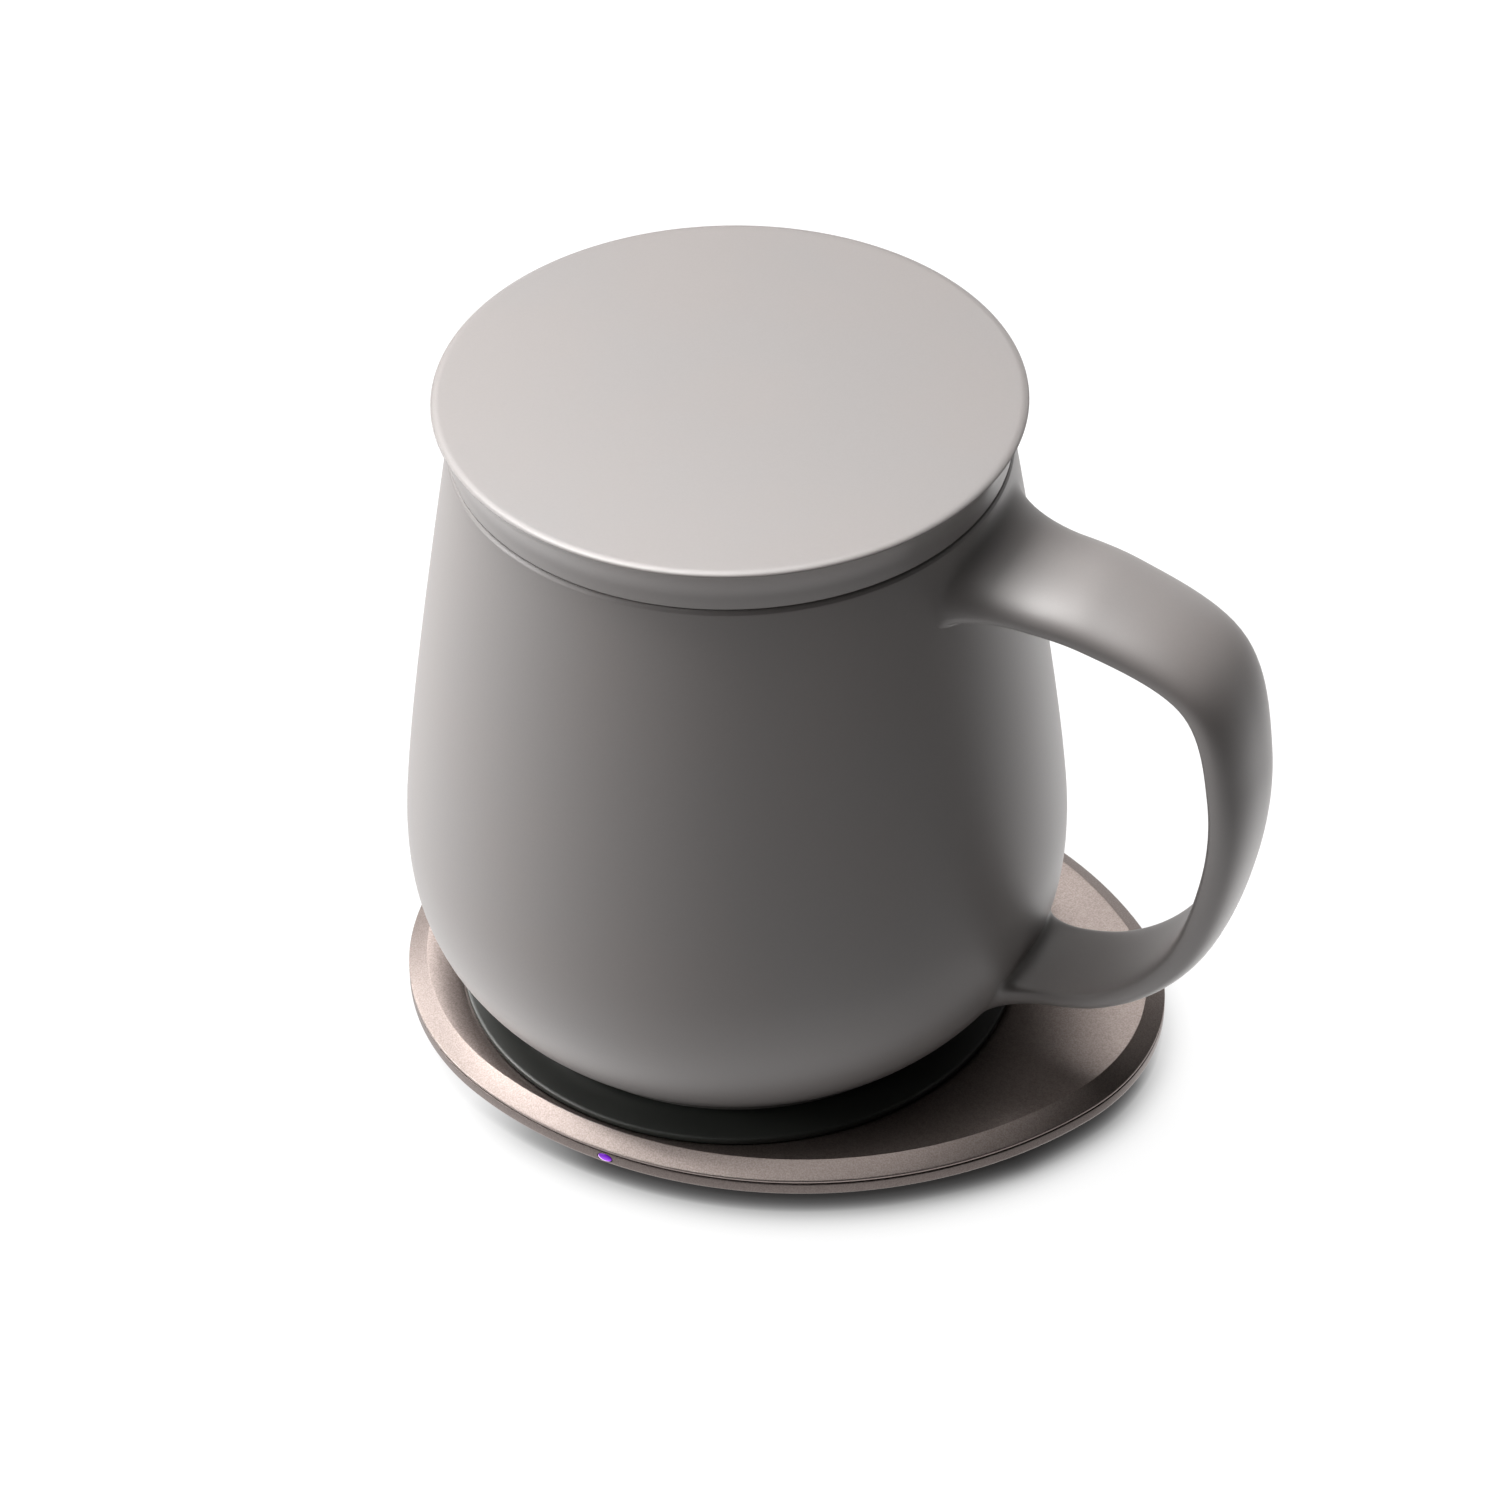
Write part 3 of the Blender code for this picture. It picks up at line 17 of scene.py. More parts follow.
import bmesh
import bpy
from mathutils import Matrix, Vector


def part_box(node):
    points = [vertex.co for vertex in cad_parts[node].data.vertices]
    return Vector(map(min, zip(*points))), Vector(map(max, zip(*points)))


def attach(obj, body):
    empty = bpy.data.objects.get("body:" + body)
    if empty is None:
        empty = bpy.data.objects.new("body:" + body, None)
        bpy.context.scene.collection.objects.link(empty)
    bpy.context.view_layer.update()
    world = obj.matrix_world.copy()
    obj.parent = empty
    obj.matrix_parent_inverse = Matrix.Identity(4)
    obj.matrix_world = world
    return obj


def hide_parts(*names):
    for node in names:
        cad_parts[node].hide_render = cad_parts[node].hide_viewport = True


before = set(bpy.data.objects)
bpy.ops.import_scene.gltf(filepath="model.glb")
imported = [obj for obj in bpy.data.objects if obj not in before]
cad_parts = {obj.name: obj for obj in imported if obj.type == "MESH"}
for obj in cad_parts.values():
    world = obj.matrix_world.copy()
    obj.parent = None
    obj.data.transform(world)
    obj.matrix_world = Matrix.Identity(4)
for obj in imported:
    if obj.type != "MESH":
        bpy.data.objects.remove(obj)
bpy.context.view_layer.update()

LOG = logging.getLogger("mug_scene")
MM = 0.001
FIT_GAP = 0.3 * MM
SHARP_ANGLE = 40.0
BODY_ANGLE = 60.0
TREE_ANGLE = 50.0
TONGUE_ANGLE = 30.0
GLASS_IOR = 1.5
GRAIN_RISE = (0.3, 0.7)
SHARP = 0.0
FINE = 0.1 * MM
ROUND_LIMIT = 0.48
POLE = 1e-7
HALVINGS = 60
COIL_TURNS = 15.0
COIL_STEPS = 44
WIRE_SIDES = 8
WIRE_SHARE = 0.98
CONTACTS = 12

Point2 = tuple[float, float]
Point3 = tuple[float, float, float]
Colour = tuple[float, float, float]
Ring = list[Vector]


class Body(Enum):
    """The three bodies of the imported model."""

    COASTER = "coaster"
    MUG = "mug"
    LID = "lid"


# Materials


class Value:
    """A number in a material's nodes, on which Python's operators add Math nodes."""

    def __init__(self, graph: Nodes, socket: bpy.types.NodeSocket) -> None:
        """Keep the nodes and the output socket.

        Args:
            graph: The nodes that the socket belongs to.
            socket: The output that carries the number.
        """
        self.graph = graph
        self.socket = socket

    def _math(self, operation: str, other: Value | float, swapped: bool = False) -> Value:
        """Add one Math node.

        Args:
            operation: The node's operation.
            other: The second number.
            swapped: Whether the other number comes first.

        Returns:
            The node's result.
        """
        pair = (other, self) if swapped else (self, other)
        node = self.graph.node("ShaderNodeMath", dict(enumerate(pair)), operation=operation)
        return Value(self.graph, node.outputs[0])

    def __add__(self, other: Value | float) -> Value:
        """Add a number."""
        return self._math("ADD", other)

    def __radd__(self, other: float) -> Value:
        """Add to a number."""
        return self._math("ADD", other, True)

    def __sub__(self, other: Value | float) -> Value:
        """Take a number away."""
        return self._math("SUBTRACT", other)

    def __rsub__(self, other: float) -> Value:
        """Take this away from a number."""
        return self._math("SUBTRACT", other, True)

    def __mul__(self, other: Value | float) -> Value:
        """Multiply by a number."""
        return self._math("MULTIPLY", other)

    def __rmul__(self, other: float) -> Value:
        """Multiply a number by this."""
        return self._math("MULTIPLY", other, True)

    def __truediv__(self, other: Value | float) -> Value:
        """Divide by a number."""
        return self._math("DIVIDE", other)

    def __pow__(self, other: Value | float) -> Value:
        """Raise to a power."""
        return self._math("POWER", other)

    def wrap(self, length: float) -> Value:
        """Return the remainder on division by a length."""
        return self._math("FLOORED_MODULO", length)

    def size(self) -> Value:
        """Return the number without its sign."""
        return self._math("ABSOLUTE", 0.0)

    def spread(self, low: float, high: float) -> Value:
        """Return a smooth rise from nought at the low value to one at the high value.

        Args:
            low: The value where the rise starts.
            high: The value where it ends.

        Returns:
            The rise.
        """
        ends = {"Value": self, "From Min": low, "From Max": high}
        node = self.graph.node("ShaderNodeMapRange", ends, interpolation_type="SMOOTHSTEP")
        return Value(self.graph, node.outputs[0])


class Nodes:
    """A node tree to which nodes are added by type, settings and inputs."""

    tree: bpy.types.NodeTree

    def node(self, kind: str, sockets: dict[Any, Any], **settings: Any) -> bpy.types.Node:
        """Add a node.

        Args:
            kind: The node's type.
            sockets: Its inputs by name or number, as numbers, colours, values or outputs.
            **settings: Its settings by name.

        Returns:
            The node.
        """
        node = self.tree.nodes.new(kind)
        for name, setting in settings.items():
            setattr(node, name, setting)
        for name, content in sockets.items():
            self.feed(node.inputs[name], content)
        return node

    def feed(self, socket: bpy.types.NodeSocket, content: Any) -> None:
        """Set a socket, or link something to it.

        Args:
            socket: The input.
            content: A number, a colour, a Value or an output.
        """
        if isinstance(content, Value):
            self.tree.links.new(content.socket, socket)
        elif isinstance(content, bpy.types.NodeSocket):
            self.tree.links.new(content, socket)
        elif isinstance(content, tuple) and socket.type == "RGBA":
            socket.default_value = (*content, 1.0)
        else:
            socket.default_value = content


class ShaderNodes(Nodes):
    """Nodes that end in one shader."""

    shader: bpy.types.Node

    def set(self, **sockets: Any) -> None:
        """Feed the shader's sockets.

        Args:
            **sockets: Contents by socket name, with _ for a blank.
        """
        for name, content in sockets.items():
            self.feed(self.shader.inputs[name.replace("_", " ")], content)


class Graph(ShaderNodes):
    """The nodes of one Principled material."""

    def __init__(self, name: str) -> None:
        """Make the material with its shader.

        Args:
            name: The material's name.
        """
        self.material = bpy.data.materials.new(name)
        self.material.use_nodes = True
        self.tree = self.material.node_tree
        self.shader = self.tree.nodes["Principled BSDF"]

    def place(self, turn: float = 0.0, centre: Point3 = (0.0, 0.0, 0.0)) -> bpy.types.NodeSocket:
        """Return object coordinates, turned about the vertical and centred.

        Args:
            turn: The angle about the vertical.
            centre: The point that becomes the origin.

        Returns:
            The coordinates.
        """
        source = self.node("ShaderNodeTexCoord", {}).outputs["Object"]
        if not turn and not any(centre):
            return source
        pair = {0: source, 1: tuple(centre)}
        moved = self.node("ShaderNodeVectorMath", pair, operation="SUBTRACT").outputs[0]
        sockets = {"Vector": moved, "Rotation": (0.0, 0.0, -turn)}
        return self.node("ShaderNodeMapping", sockets).outputs[0]

    def axes(self, vector: bpy.types.NodeSocket) -> tuple[Value, Value, Value]:
        """Return the three numbers of a vector."""
        outputs = self.node("ShaderNodeSeparateXYZ", {0: vector}).outputs
        return tuple(Value(self, output) for output in outputs)

    def noise(self, period: float, detail: float = 2.0, roughness: float = 0.5) -> Value:
        """Return noise in object coordinates.

        Args:
            period: The rough size of its spots, in metres.
            detail: The number of finer layers.
            roughness: How much the finer layers count.

        Returns:
            The noise, about 0.5 on average.
        """
        sizes = {"Scale": 1.0 / period, "Detail": detail, "Roughness": roughness}
        node = self.node("ShaderNodeTexNoise", {"Vector": self.place(), **sizes})
        return Value(self, node.outputs[0])

    def mix(self, share: Any, first: Any, second: Any) -> bpy.types.NodeSocket:
        """Mix two colours.

        Args:
            share: The second colour's share, as a number, a Value or an output.
            first: The first colour.
            second: The second colour.

        Returns:
            The mixed colour.
        """
        sockets = {"Factor": share, 6: first, 7: second}
        return self.node("ShaderNodeMix", sockets, data_type="RGBA").outputs[2]

    def bump(self, height: Value, distance: float, strength: float = 1.0) -> None:
        """Raise the surface's normal by a height.

        Args:
            height: The relief, 0 to 1.
            distance: The relief's depth in metres.
            strength: How much of it shows.
        """
        sockets = {"Height": height, "Distance": distance, "Strength": strength}
        self.set(Normal=self.node("ShaderNodeBump", sockets).outputs[0])


class SkyGraph(ShaderNodes):
    """The nodes of the room's light."""

    def __init__(self, name: str) -> None:
        """Make the world.

        Args:
            name: The world's name.
        """
        self.world = bpy.data.worlds.new(name)
        self.world.use_nodes = True
        self.tree = self.world.node_tree
        self.shader = self.tree.nodes["Background"]


def lighter(colour: Colour, factor: float) -> Colour:
    """Return a colour times a factor."""
    return tuple(min(channel * factor, 1.0) for channel in colour)


@dataclass(frozen=True)
class SatinGlaze:
    """Satin glaze over stoneware: soft gloss, faint mottling and a very fine grain."""

    name: str = "satin_glaze"
    colour: Colour = (0.184, 0.173, 0.170)
    warm: Colour = (0.188, 0.173, 0.168)
    gloss: float = 0.45
    coat: float = 0.9
    mottle: float = 26 * MM
    mottle_rise: Point2 = (0.35, 0.65)
    ripple: float = 1.6 * MM
    grain: float = 0.35 * MM
    grain_share: float = 0.10
    grain_shade: float = 0.80
    relief: float = 0.006 * MM

    def material(self) -> bpy.types.Material:
        """Return the finish as a material."""
        graph = Graph(self.name)
        mottle = graph.noise(self.mottle, 3.0)
        grain = graph.noise(self.grain, 2.0)
        tint = graph.mix(mottle.spread(*self.mottle_rise), self.colour, self.warm)
        dark = lighter(self.colour, self.grain_shade)
        colour = graph.mix(grain.spread(*GRAIN_RISE) * self.grain_share, tint, dark)
        graph.set(Base_Color=colour, Roughness=self.gloss + 0.05 * mottle + 0.03 * grain)
        graph.set(Specular_IOR_Level=0.5, IOR=GLASS_IOR)
        graph.set(Coat_Weight=self.coat, Coat_Roughness=self.gloss, Coat_IOR=GLASS_IOR)
        graph.bump(grain + graph.noise(self.ripple, 1.0) * 0.5, self.relief, 0.5)
        return graph.material


@dataclass(frozen=True)
class BlastedMetal:
    """Bead blasted and dyed aluminium: metal under a fine mottled grain."""

    name: str = "blasted_aluminium"
    colour: Colour = (0.288, 0.241, 0.224)
    pale: Colour = (0.423, 0.364, 0.340)
    gloss: float = 0.38
    grain: float = 0.22 * MM
    patch: float = 1.1 * MM
    patch_share: float = 0.07
    relief: float = 0.010 * MM

    def material(self) -> bpy.types.Material:
        """Return the finish as a material."""
        graph = Graph(self.name)
        grain = graph.noise(self.grain, 3.0, 0.6)
        marks = grain * (1.0 - self.patch_share) + graph.noise(self.patch, 2.0) * self.patch_share
        colour = graph.mix(marks.spread(*GRAIN_RISE), self.colour, self.pale)
        graph.set(Base_Color=colour, Metallic=1.0, Roughness=self.gloss + 0.10 * grain)
        graph.bump(grain, self.relief, 0.7)
        return graph.material


@dataclass(frozen=True)
class SmoothMoulding:
    """A moulded plastic or silicone: one colour, a fine etched grain and faint wear."""

    name: str
    colour: Colour
    gloss: float
    grain: float = 0.18 * MM
    relief: float = 0.006 * MM
    specular: float = 0.5
    wear: float = 9 * MM
    grain_share: float = 0.35
    grain_light: float = 1.35

    def material(self) -> bpy.types.Material:
        """Return the finish as a material."""
        graph = Graph(self.name)
        grain = graph.noise(self.grain, 2.0)
        wear = graph.noise(self.wear, 4.0)
        pale = lighter(self.colour, self.grain_light)
        colour = graph.mix(grain.spread(*GRAIN_RISE) * self.grain_share, self.colour, pale)
        graph.set(Base_Color=colour, Roughness=self.gloss + 0.06 * wear + 0.05 * grain)
        graph.set(Specular_IOR_Level=self.specular)
        graph.bump(grain, self.relief, 0.6)
        return graph.material


@dataclass(frozen=True)
class BareMetal:
    """Drawn or cut metal: fine lines along one direction."""

    name: str
    colour: Colour
    gloss: float = 0.28
    line: float = 0.08 * MM
    stretch: Point3 = (1.0, 0.05, 1.0)
    shade: float = 0.85
    relief: float = 0.002 * MM

    def material(self) -> bpy.types.Material:
        """Return the finish as a material."""
        graph = Graph(self.name)
        across = graph.node("ShaderNodeMapping", {"Vector": graph.place(), "Scale": self.stretch})
        sockets = {"Vector": across.outputs[0], "Scale": 1.0 / self.line}
        mark = Value(graph, graph.node("ShaderNodeTexNoise", sockets).outputs[0])
        colour = graph.mix(mark.spread(*GRAIN_RISE), lighter(self.colour, self.shade), self.colour)
        graph.set(Base_Color=colour, Metallic=1.0, Roughness=self.gloss + 0.12 * mark)
        graph.bump(mark, self.relief, 0.5)
        return graph.material


@dataclass(frozen=True)
class LitLens:
    """The light guide, lit violet from inside and dark at its edge, with a painted glint along its
    lower left.
    """

    turn: float
    centre: Point3
    half: Point2
    name: str = "lit_lens"
    dark: Colour = (0.020, 0.0, 0.030)
    deep: Colour = (0.075, 0.0, 0.34)
    violet: Colour = (0.34, 0.0, 0.86)
    painted_glint: Colour = (1.0, 0.74, 1.0)
    unlit: tuple[Colour, Colour] = ((0.10, 0.01, 0.22), (0.13, 0.02, 0.26))
    deep_rise: Point2 = (-0.6, 0.5)
    painted_glint_from: Point2 = (0.22, 0.45)
    painted_glint_rise: Point2 = (1.0, 1.2)
    edge_rise: Point2 = (0.88, 0.99)
    grain: float = 0.15 * MM
    power: float = 1.0

    def material(self) -> bpy.types.Material:
        """Return the finish as a material."""
        graph = Graph(self.name)
        _, side, up = graph.axes(graph.place(self.turn, self.centre))
        side, up = side / self.half[0], up / self.half[1]
        away = ((side - self.painted_glint_from[0]) ** 2.0 + (up - self.painted_glint_from[1]) ** 2.0) ** 0.5
        edge = (side * side + up * up) ** 0.5
        grain = graph.noise(self.grain, 1.0)
        glow = graph.mix(up.spread(*self.deep_rise), self.violet, self.deep)
        # The pale crescent far from this point is a painted glint on the glow.
        glow = graph.mix(away.spread(*self.painted_glint_rise), glow, self.painted_glint)
        glow = graph.mix(edge.spread(*self.edge_rise), glow, self.dark)
        graph.set(Base_Color=graph.mix(grain, *self.unlit))
        graph.set(Emission_Color=glow, Emission_Strength=self.power, Roughness=0.18 + 0.1 * grain)
        return graph.material


@dataclass(frozen=True)
class SolderMask:
    """A circuit board's mask over copper tracks."""

    name: str = "solder_mask"
    colour: Colour = (0.010, 0.075, 0.030)
    track: Colour = (0.022, 0.130, 0.050)
    pitch: float = 1.3 * MM
    track_width: float = 0.16
    track_blur: float = 0.3
    offset: float = 0.37
    squash: float = 2.0
    weave: float = 0.4 * MM
    relief: float = 0.02 * MM

    def material(self) -> bpy.types.Material:
        """Return the finish as a material."""
        graph = Graph(self.name)
        sockets = {
            "Vector": graph.place(),
            "Scale": 1.0 / self.pitch,
            "Mortar Size": self.track_width,
            "Mortar Smooth": self.track_blur,
        }
        sizes = {"offset": self.offset, "squash": self.squash, "squash_frequency": 3}
        cells = graph.node("ShaderNodeTexBrick", sockets, **sizes)
        tracks = Value(graph, cells.outputs["Fac"])
        colour = graph.mix(tracks, self.colour, self.track)
        graph.set(Base_Color=colour, Roughness=0.32 + 0.12 * graph.noise(self.weave))
        graph.bump(tracks, self.relief, 0.6)
        return graph.material


@dataclass(frozen=True)
class FilmHeater:
    """Amber film over a winding foil track."""

    name: str = "film_heater"
    film: Colour = (0.42, 0.17, 0.03)
    foil: Colour = (0.50, 0.40, 0.30)
    pitch: float = 1.8 * MM
    track_edge: Point2 = (0.18, 0.24)
    weave: float = 0.6 * MM
    relief: float = 0.02 * MM

    def material(self) -> bpy.types.Material:
        """Return the finish as a material."""
        graph = Graph(self.name)
        x, y, _ = graph.axes(graph.place())
        reach = (x * x + y * y) ** 0.5
        track = ((reach / self.pitch).wrap(1.0) - 0.5).size().spread(*self.track_edge)
        colour = graph.mix(track, self.foil, self.film)
        graph.set(Base_Color=colour, Roughness=0.30 + 0.15 * graph.noise(self.weave))
        graph.bump(1.0 - track, self.relief, 0.7)
        return graph.material


@dataclass(frozen=True)
class LightTable:
    """The pale lit ground, with a painted contact shadow round the coaster."""

    name: str = "light_table"
    colour: Colour = (0.06, 0.06, 0.06)
    fibre: float = 0.8 * MM
    glow: float = 0.98

    def material(self) -> bpy.types.Material:
        """Return the finish as a material."""
        graph = Graph(self.name)
        fibre = graph.noise(self.fibre, 3.0)
        # The shade attribute darkens the glow: a painted contact shadow.
        shade = graph.node("ShaderNodeAttribute", {}, attribute_name="shade").outputs["Fac"]
        glow = graph.mix(shade, (1.0, 1.0, 1.0), (0.0, 0.0, 0.0))
        graph.set(Base_Color=graph.mix(fibre, self.colour, lighter(self.colour, 0.9)))
        graph.set(Roughness=0.75 + 0.1 * fibre, Specular_IOR_Level=0.2)
        graph.set(Emission_Color=glow, Emission_Strength=self.glow)
        return graph.material


@dataclass
class Finishes:
    """Every finish of the object, made once and shared by name."""

    made: dict[str, bpy.types.Material] = field(default_factory=dict)

    def get(self, finish: Any) -> bpy.types.Material:
        """Return the material of a finish, made on its first use.

        Args:
            finish: A finish with a name and a material method.

        Returns:
            The material.
        """
        if finish.name not in self.made:
            self.made[finish.name] = finish.material()
        return self.made[finish.name]


GLAZE = SatinGlaze()
METAL = BlastedMetal()
# The tray's metal is the plate's metal made darker: painted shade for the floor's shadow on the
# side band and undercut.
TRAY_METAL_PAINTED_SHADE = BlastedMetal("blasted_tray_painted_shade", (0.153, 0.128, 0.119), (0.225, 0.193, 0.181))
DISC = SmoothMoulding("disc_satin", (0.030, 0.034, 0.030), 0.37, specular=1.0)
SILICONE = SmoothMoulding("silicone", (0.065, 0.065, 0.066), 0.62)
POLYMER = SmoothMoulding("black_polymer", (0.016, 0.016, 0.017), 0.50)
MOULDED_PART = SmoothMoulding("moulded_part", (0.020, 0.020, 0.023), 0.42)
LIGHT_CHIP = SmoothMoulding("light_chip", (0.78, 0.78, 0.72), 0.35)
AMBER_BEAD = SmoothMoulding("amber_bead", (0.42, 0.20, 0.06), 0.15)
FERRITE = SmoothMoulding("ferrite", (0.040, 0.039, 0.038), 0.60, grain=0.5 * MM)
FIBRE_BOARD = SmoothMoulding("fibre_board", (0.60, 0.58, 0.52), 0.85, 0.7 * MM, 0.05 * MM)
STEEL = BareMetal("steel", (0.56, 0.56, 0.57))
GOLD = BareMetal("gold_contact", (0.90, 0.66, 0.30), 0.22)
COPPER = BareMetal("enamelled_copper", (0.76, 0.35, 0.20), 0.25)
BOARD = SolderMask()
HEATER = FilmHeater()

INSIDE_FINISHES = (
    (STEEL, "tray_screw_back tray_screw_left tray_screw_right"),
    (BOARD, "coaster_board mug_board"),
    (FERRITE, "power_inductor transmitter_ferrite receiver_ferrite"),
    (MOULDED_PART, "controller_chip bridge_chip_left bridge_chip_right"),
    (MOULDED_PART, "rectifier_chip mug_controller_chip"),
    (AMBER_BEAD, "capacitor_outer_left capacitor_outer_right"),
    (AMBER_BEAD, "capacitor_tip_left capacitor_tip_right"),
    (AMBER_BEAD, "storage_capacitor_left tuning_capacitor storage_capacitor_right"),
    (AMBER_BEAD, "coaster_thermistor mug_thermistor"),
    (LIGHT_CHIP, "status_led"),
    (POLYMER, "coil_carrier"),
    (HEATER, "heater_plate"),
    (FIBRE_BOARD, "insulation_disc"),
    (SILICONE, "base_gasket"),
)


# Shapes


def bezier(knots: Sequence[Vector], share: float) -> Vector:
    """Return the point of a cubic curve.

    Args:
        knots: Its four knots.
        share: The share of its run.

    Returns:
        The point.
    """
    rest = 1.0 - share
    weights = (rest**3, 3 * rest**2 * share, 3 * rest * share**2, share**3)
    return sum((weight * knot for weight, knot in zip(weights, knots)), knots[0] * 0.0)


def spaced(start: float, end: float, steps: int) -> list[float]:
    """Return evenly spaced values from start to end, both included."""
    return [start + (end - start) * index / steps for index in range(steps + 1)]


def softened(corners: Sequence[Point3], closed: bool, steps: int = 5) -> list[Point2]:
    """Round the corners of a profile.

    Args:
        corners: The corners' two coordinates and how far their rounding reaches.
        closed: Whether the last corner joins the first.
        steps: The number of steps in a rounding.

    Returns:
        The profile's points.
    """
    count = len(corners)
    points: list[Point2] = []
    for index, (x, y, reach) in enumerate(corners):
        inner = closed or 0 < index < count - 1
        if not inner or reach <= 0.0:
            points.append((x, y))
            continue
        here = Vector((x, y))
        before = Vector(corners[index - 1][:2]) - here
        after = Vector(corners[(index + 1) % count][:2]) - here
        limit = ROUND_LIMIT * min(before.length, after.length)
        start = here + before.normalized() * min(reach, limit)
        end = here + after.normalized() * min(reach, limit)
        for share in spaced(0.0, 1.0, steps):
            point = start * (1 - share) ** 2 + here * (2 * share * (1 - share)) + end * share**2
            points.append((point.x, point.y))
    return points


def smooth(mesh: bpy.types.Mesh, sharp: float = SHARP_ANGLE) -> None:
    """Shade a mesh smoothly, save for edges sharper than an angle in degrees."""
    mesh.shade_smooth()
    mesh.set_sharp_from_angle(angle=math.radians(sharp))


def plain_mesh(obj: bpy.types.Object, sharp: float = SHARP_ANGLE) -> None:
    """Turn an object with modifiers into a plain smooth mesh.

    Args:
        obj: The object.
        sharp: The angle, in degrees, from which an edge stays sharp.
    """
    graph = bpy.context.evaluated_depsgraph_get()
    made = bpy.data.meshes.new_from_object(obj.evaluated_get(graph))
    obj.modifiers.clear()
    obj.data = made
    smooth(made, sharp)


def make_mesh(name: str, bm: bmesh.types.BMesh, sharp: float = SHARP_ANGLE) -> bpy.types.Object:
    """Turn a bmesh into a smooth shaded object with outward faces.

    Args:
        name: The object's name.
        bm: The bmesh, which is used up.
        sharp: The angle, in degrees, from which an edge stays sharp.

    Returns:
        The object.
    """
    bmesh.ops.recalc_face_normals(bm, faces=bm.faces)
    mesh = bpy.data.meshes.new(name)
    bm.to_mesh(mesh)
    bm.free()
    smooth(mesh, sharp)
    obj = bpy.data.objects.new(name, mesh)
    bpy.context.scene.collection.objects.link(obj)
    return obj


def loft(bm: bmesh.types.BMesh, rings: Sequence[Ring], closed: bool = False) -> None:
    """Skin a list of rings. A ring of one point is a pole; other open ends get a flat cap.

    Args:
        bm: The bmesh that gets the faces.
        rings: The rings, of equally many points.
        closed: Whether the last ring joins the first.
    """
    rows = [[bm.verts.new(point) for point in ring] for ring in rings]
    pairs = list(zip(rows, rows[1:]))
    if closed:
        pairs.append((rows[-1], rows[0]))
    for lower, upper in pairs:
        count = max(len(lower), len(upper))
        for index in range(count):
            after = (index + 1) % count
            low = [lower[0]] if len(lower) == 1 else [lower[index], lower[after]]
            high = [upper[0]] if len(upper) == 1 else [upper[after], upper[index]]
            bm.faces.new(low + high)
    if not closed:
        for row in (rows[0], rows[-1]):
            if len(row) > 1:
                bm.faces.new(row)


def turned(
    name: str, profile: Sequence[Point2], segments: int = 192, closed: bool = False
) -> bpy.types.Object:
    """Turn a profile about the Z axis.

    Args:
        name: The object's name.
        profile: Radii and heights; a radius of nought makes a pole.
        segments: The number of segments round the axis.
        closed: Whether the last point joins the first.

    Returns:
        The object.
    """
    turn = math.tau / segments
    rings = []
    for radius, height in profile:
        if radius < POLE:
            rings.append([Vector((0.0, 0.0, height))])
            continue
        angles = [turn * index for index in range(segments)]
        rings.append([Vector((radius * math.cos(a), radius * math.sin(a), height)) for a in angles])
    bm = bmesh.new()
    loft(bm, rings, closed)
    return make_mesh(name, bm)


def carve(target: bpy.types.Object, tool: bpy.types.Object) -> None:
    """Cut a tool out of a piece and remove the tool.

    Args:
        target: The piece.
        tool: The tool.
    """
    modifier = target.modifiers.new("carve", "BOOLEAN")
    modifier.operation = "DIFFERENCE"
    modifier.solver = "EXACT"
    modifier.object = tool
    plain_mesh(target)
    bpy.data.objects.remove(tool)


def mouth_ring(
    size: Point2, mouth: tuple[Vector, Vector], reach: float, steps: int, straight: float = 0.0
) -> Ring:
    """Return the outline of a level oval, or of a level slot with round ends.

    Args:
        size: Its width and height.
        mouth: Its middle and the direction that it faces.
        reach: How far in front of the middle the outline lies.
        steps: The number of points.
        straight: Half the length of a slot's straight sides.

    Returns:
        The outline.
    """
    place, outward = mouth
    across = Vector((-outward.y, outward.x, 0.0))
    middle = place + outward * reach
    points = []
    for index in range(steps):
        angle = math.tau * (index + 0.5) / steps
        side = math.copysign(straight, math.cos(angle)) + (size[0] / 2 - straight) * math.cos(angle)
        points.append(middle + across * side + Vector((0.0, 0.0, size[1] / 2 * math.sin(angle))))
    return points


def grown(size: Point2, gap: float) -> Point2:
    """Return a size with a gap added all round."""
    return size[0] + 2 * gap, size[1] + 2 * gap


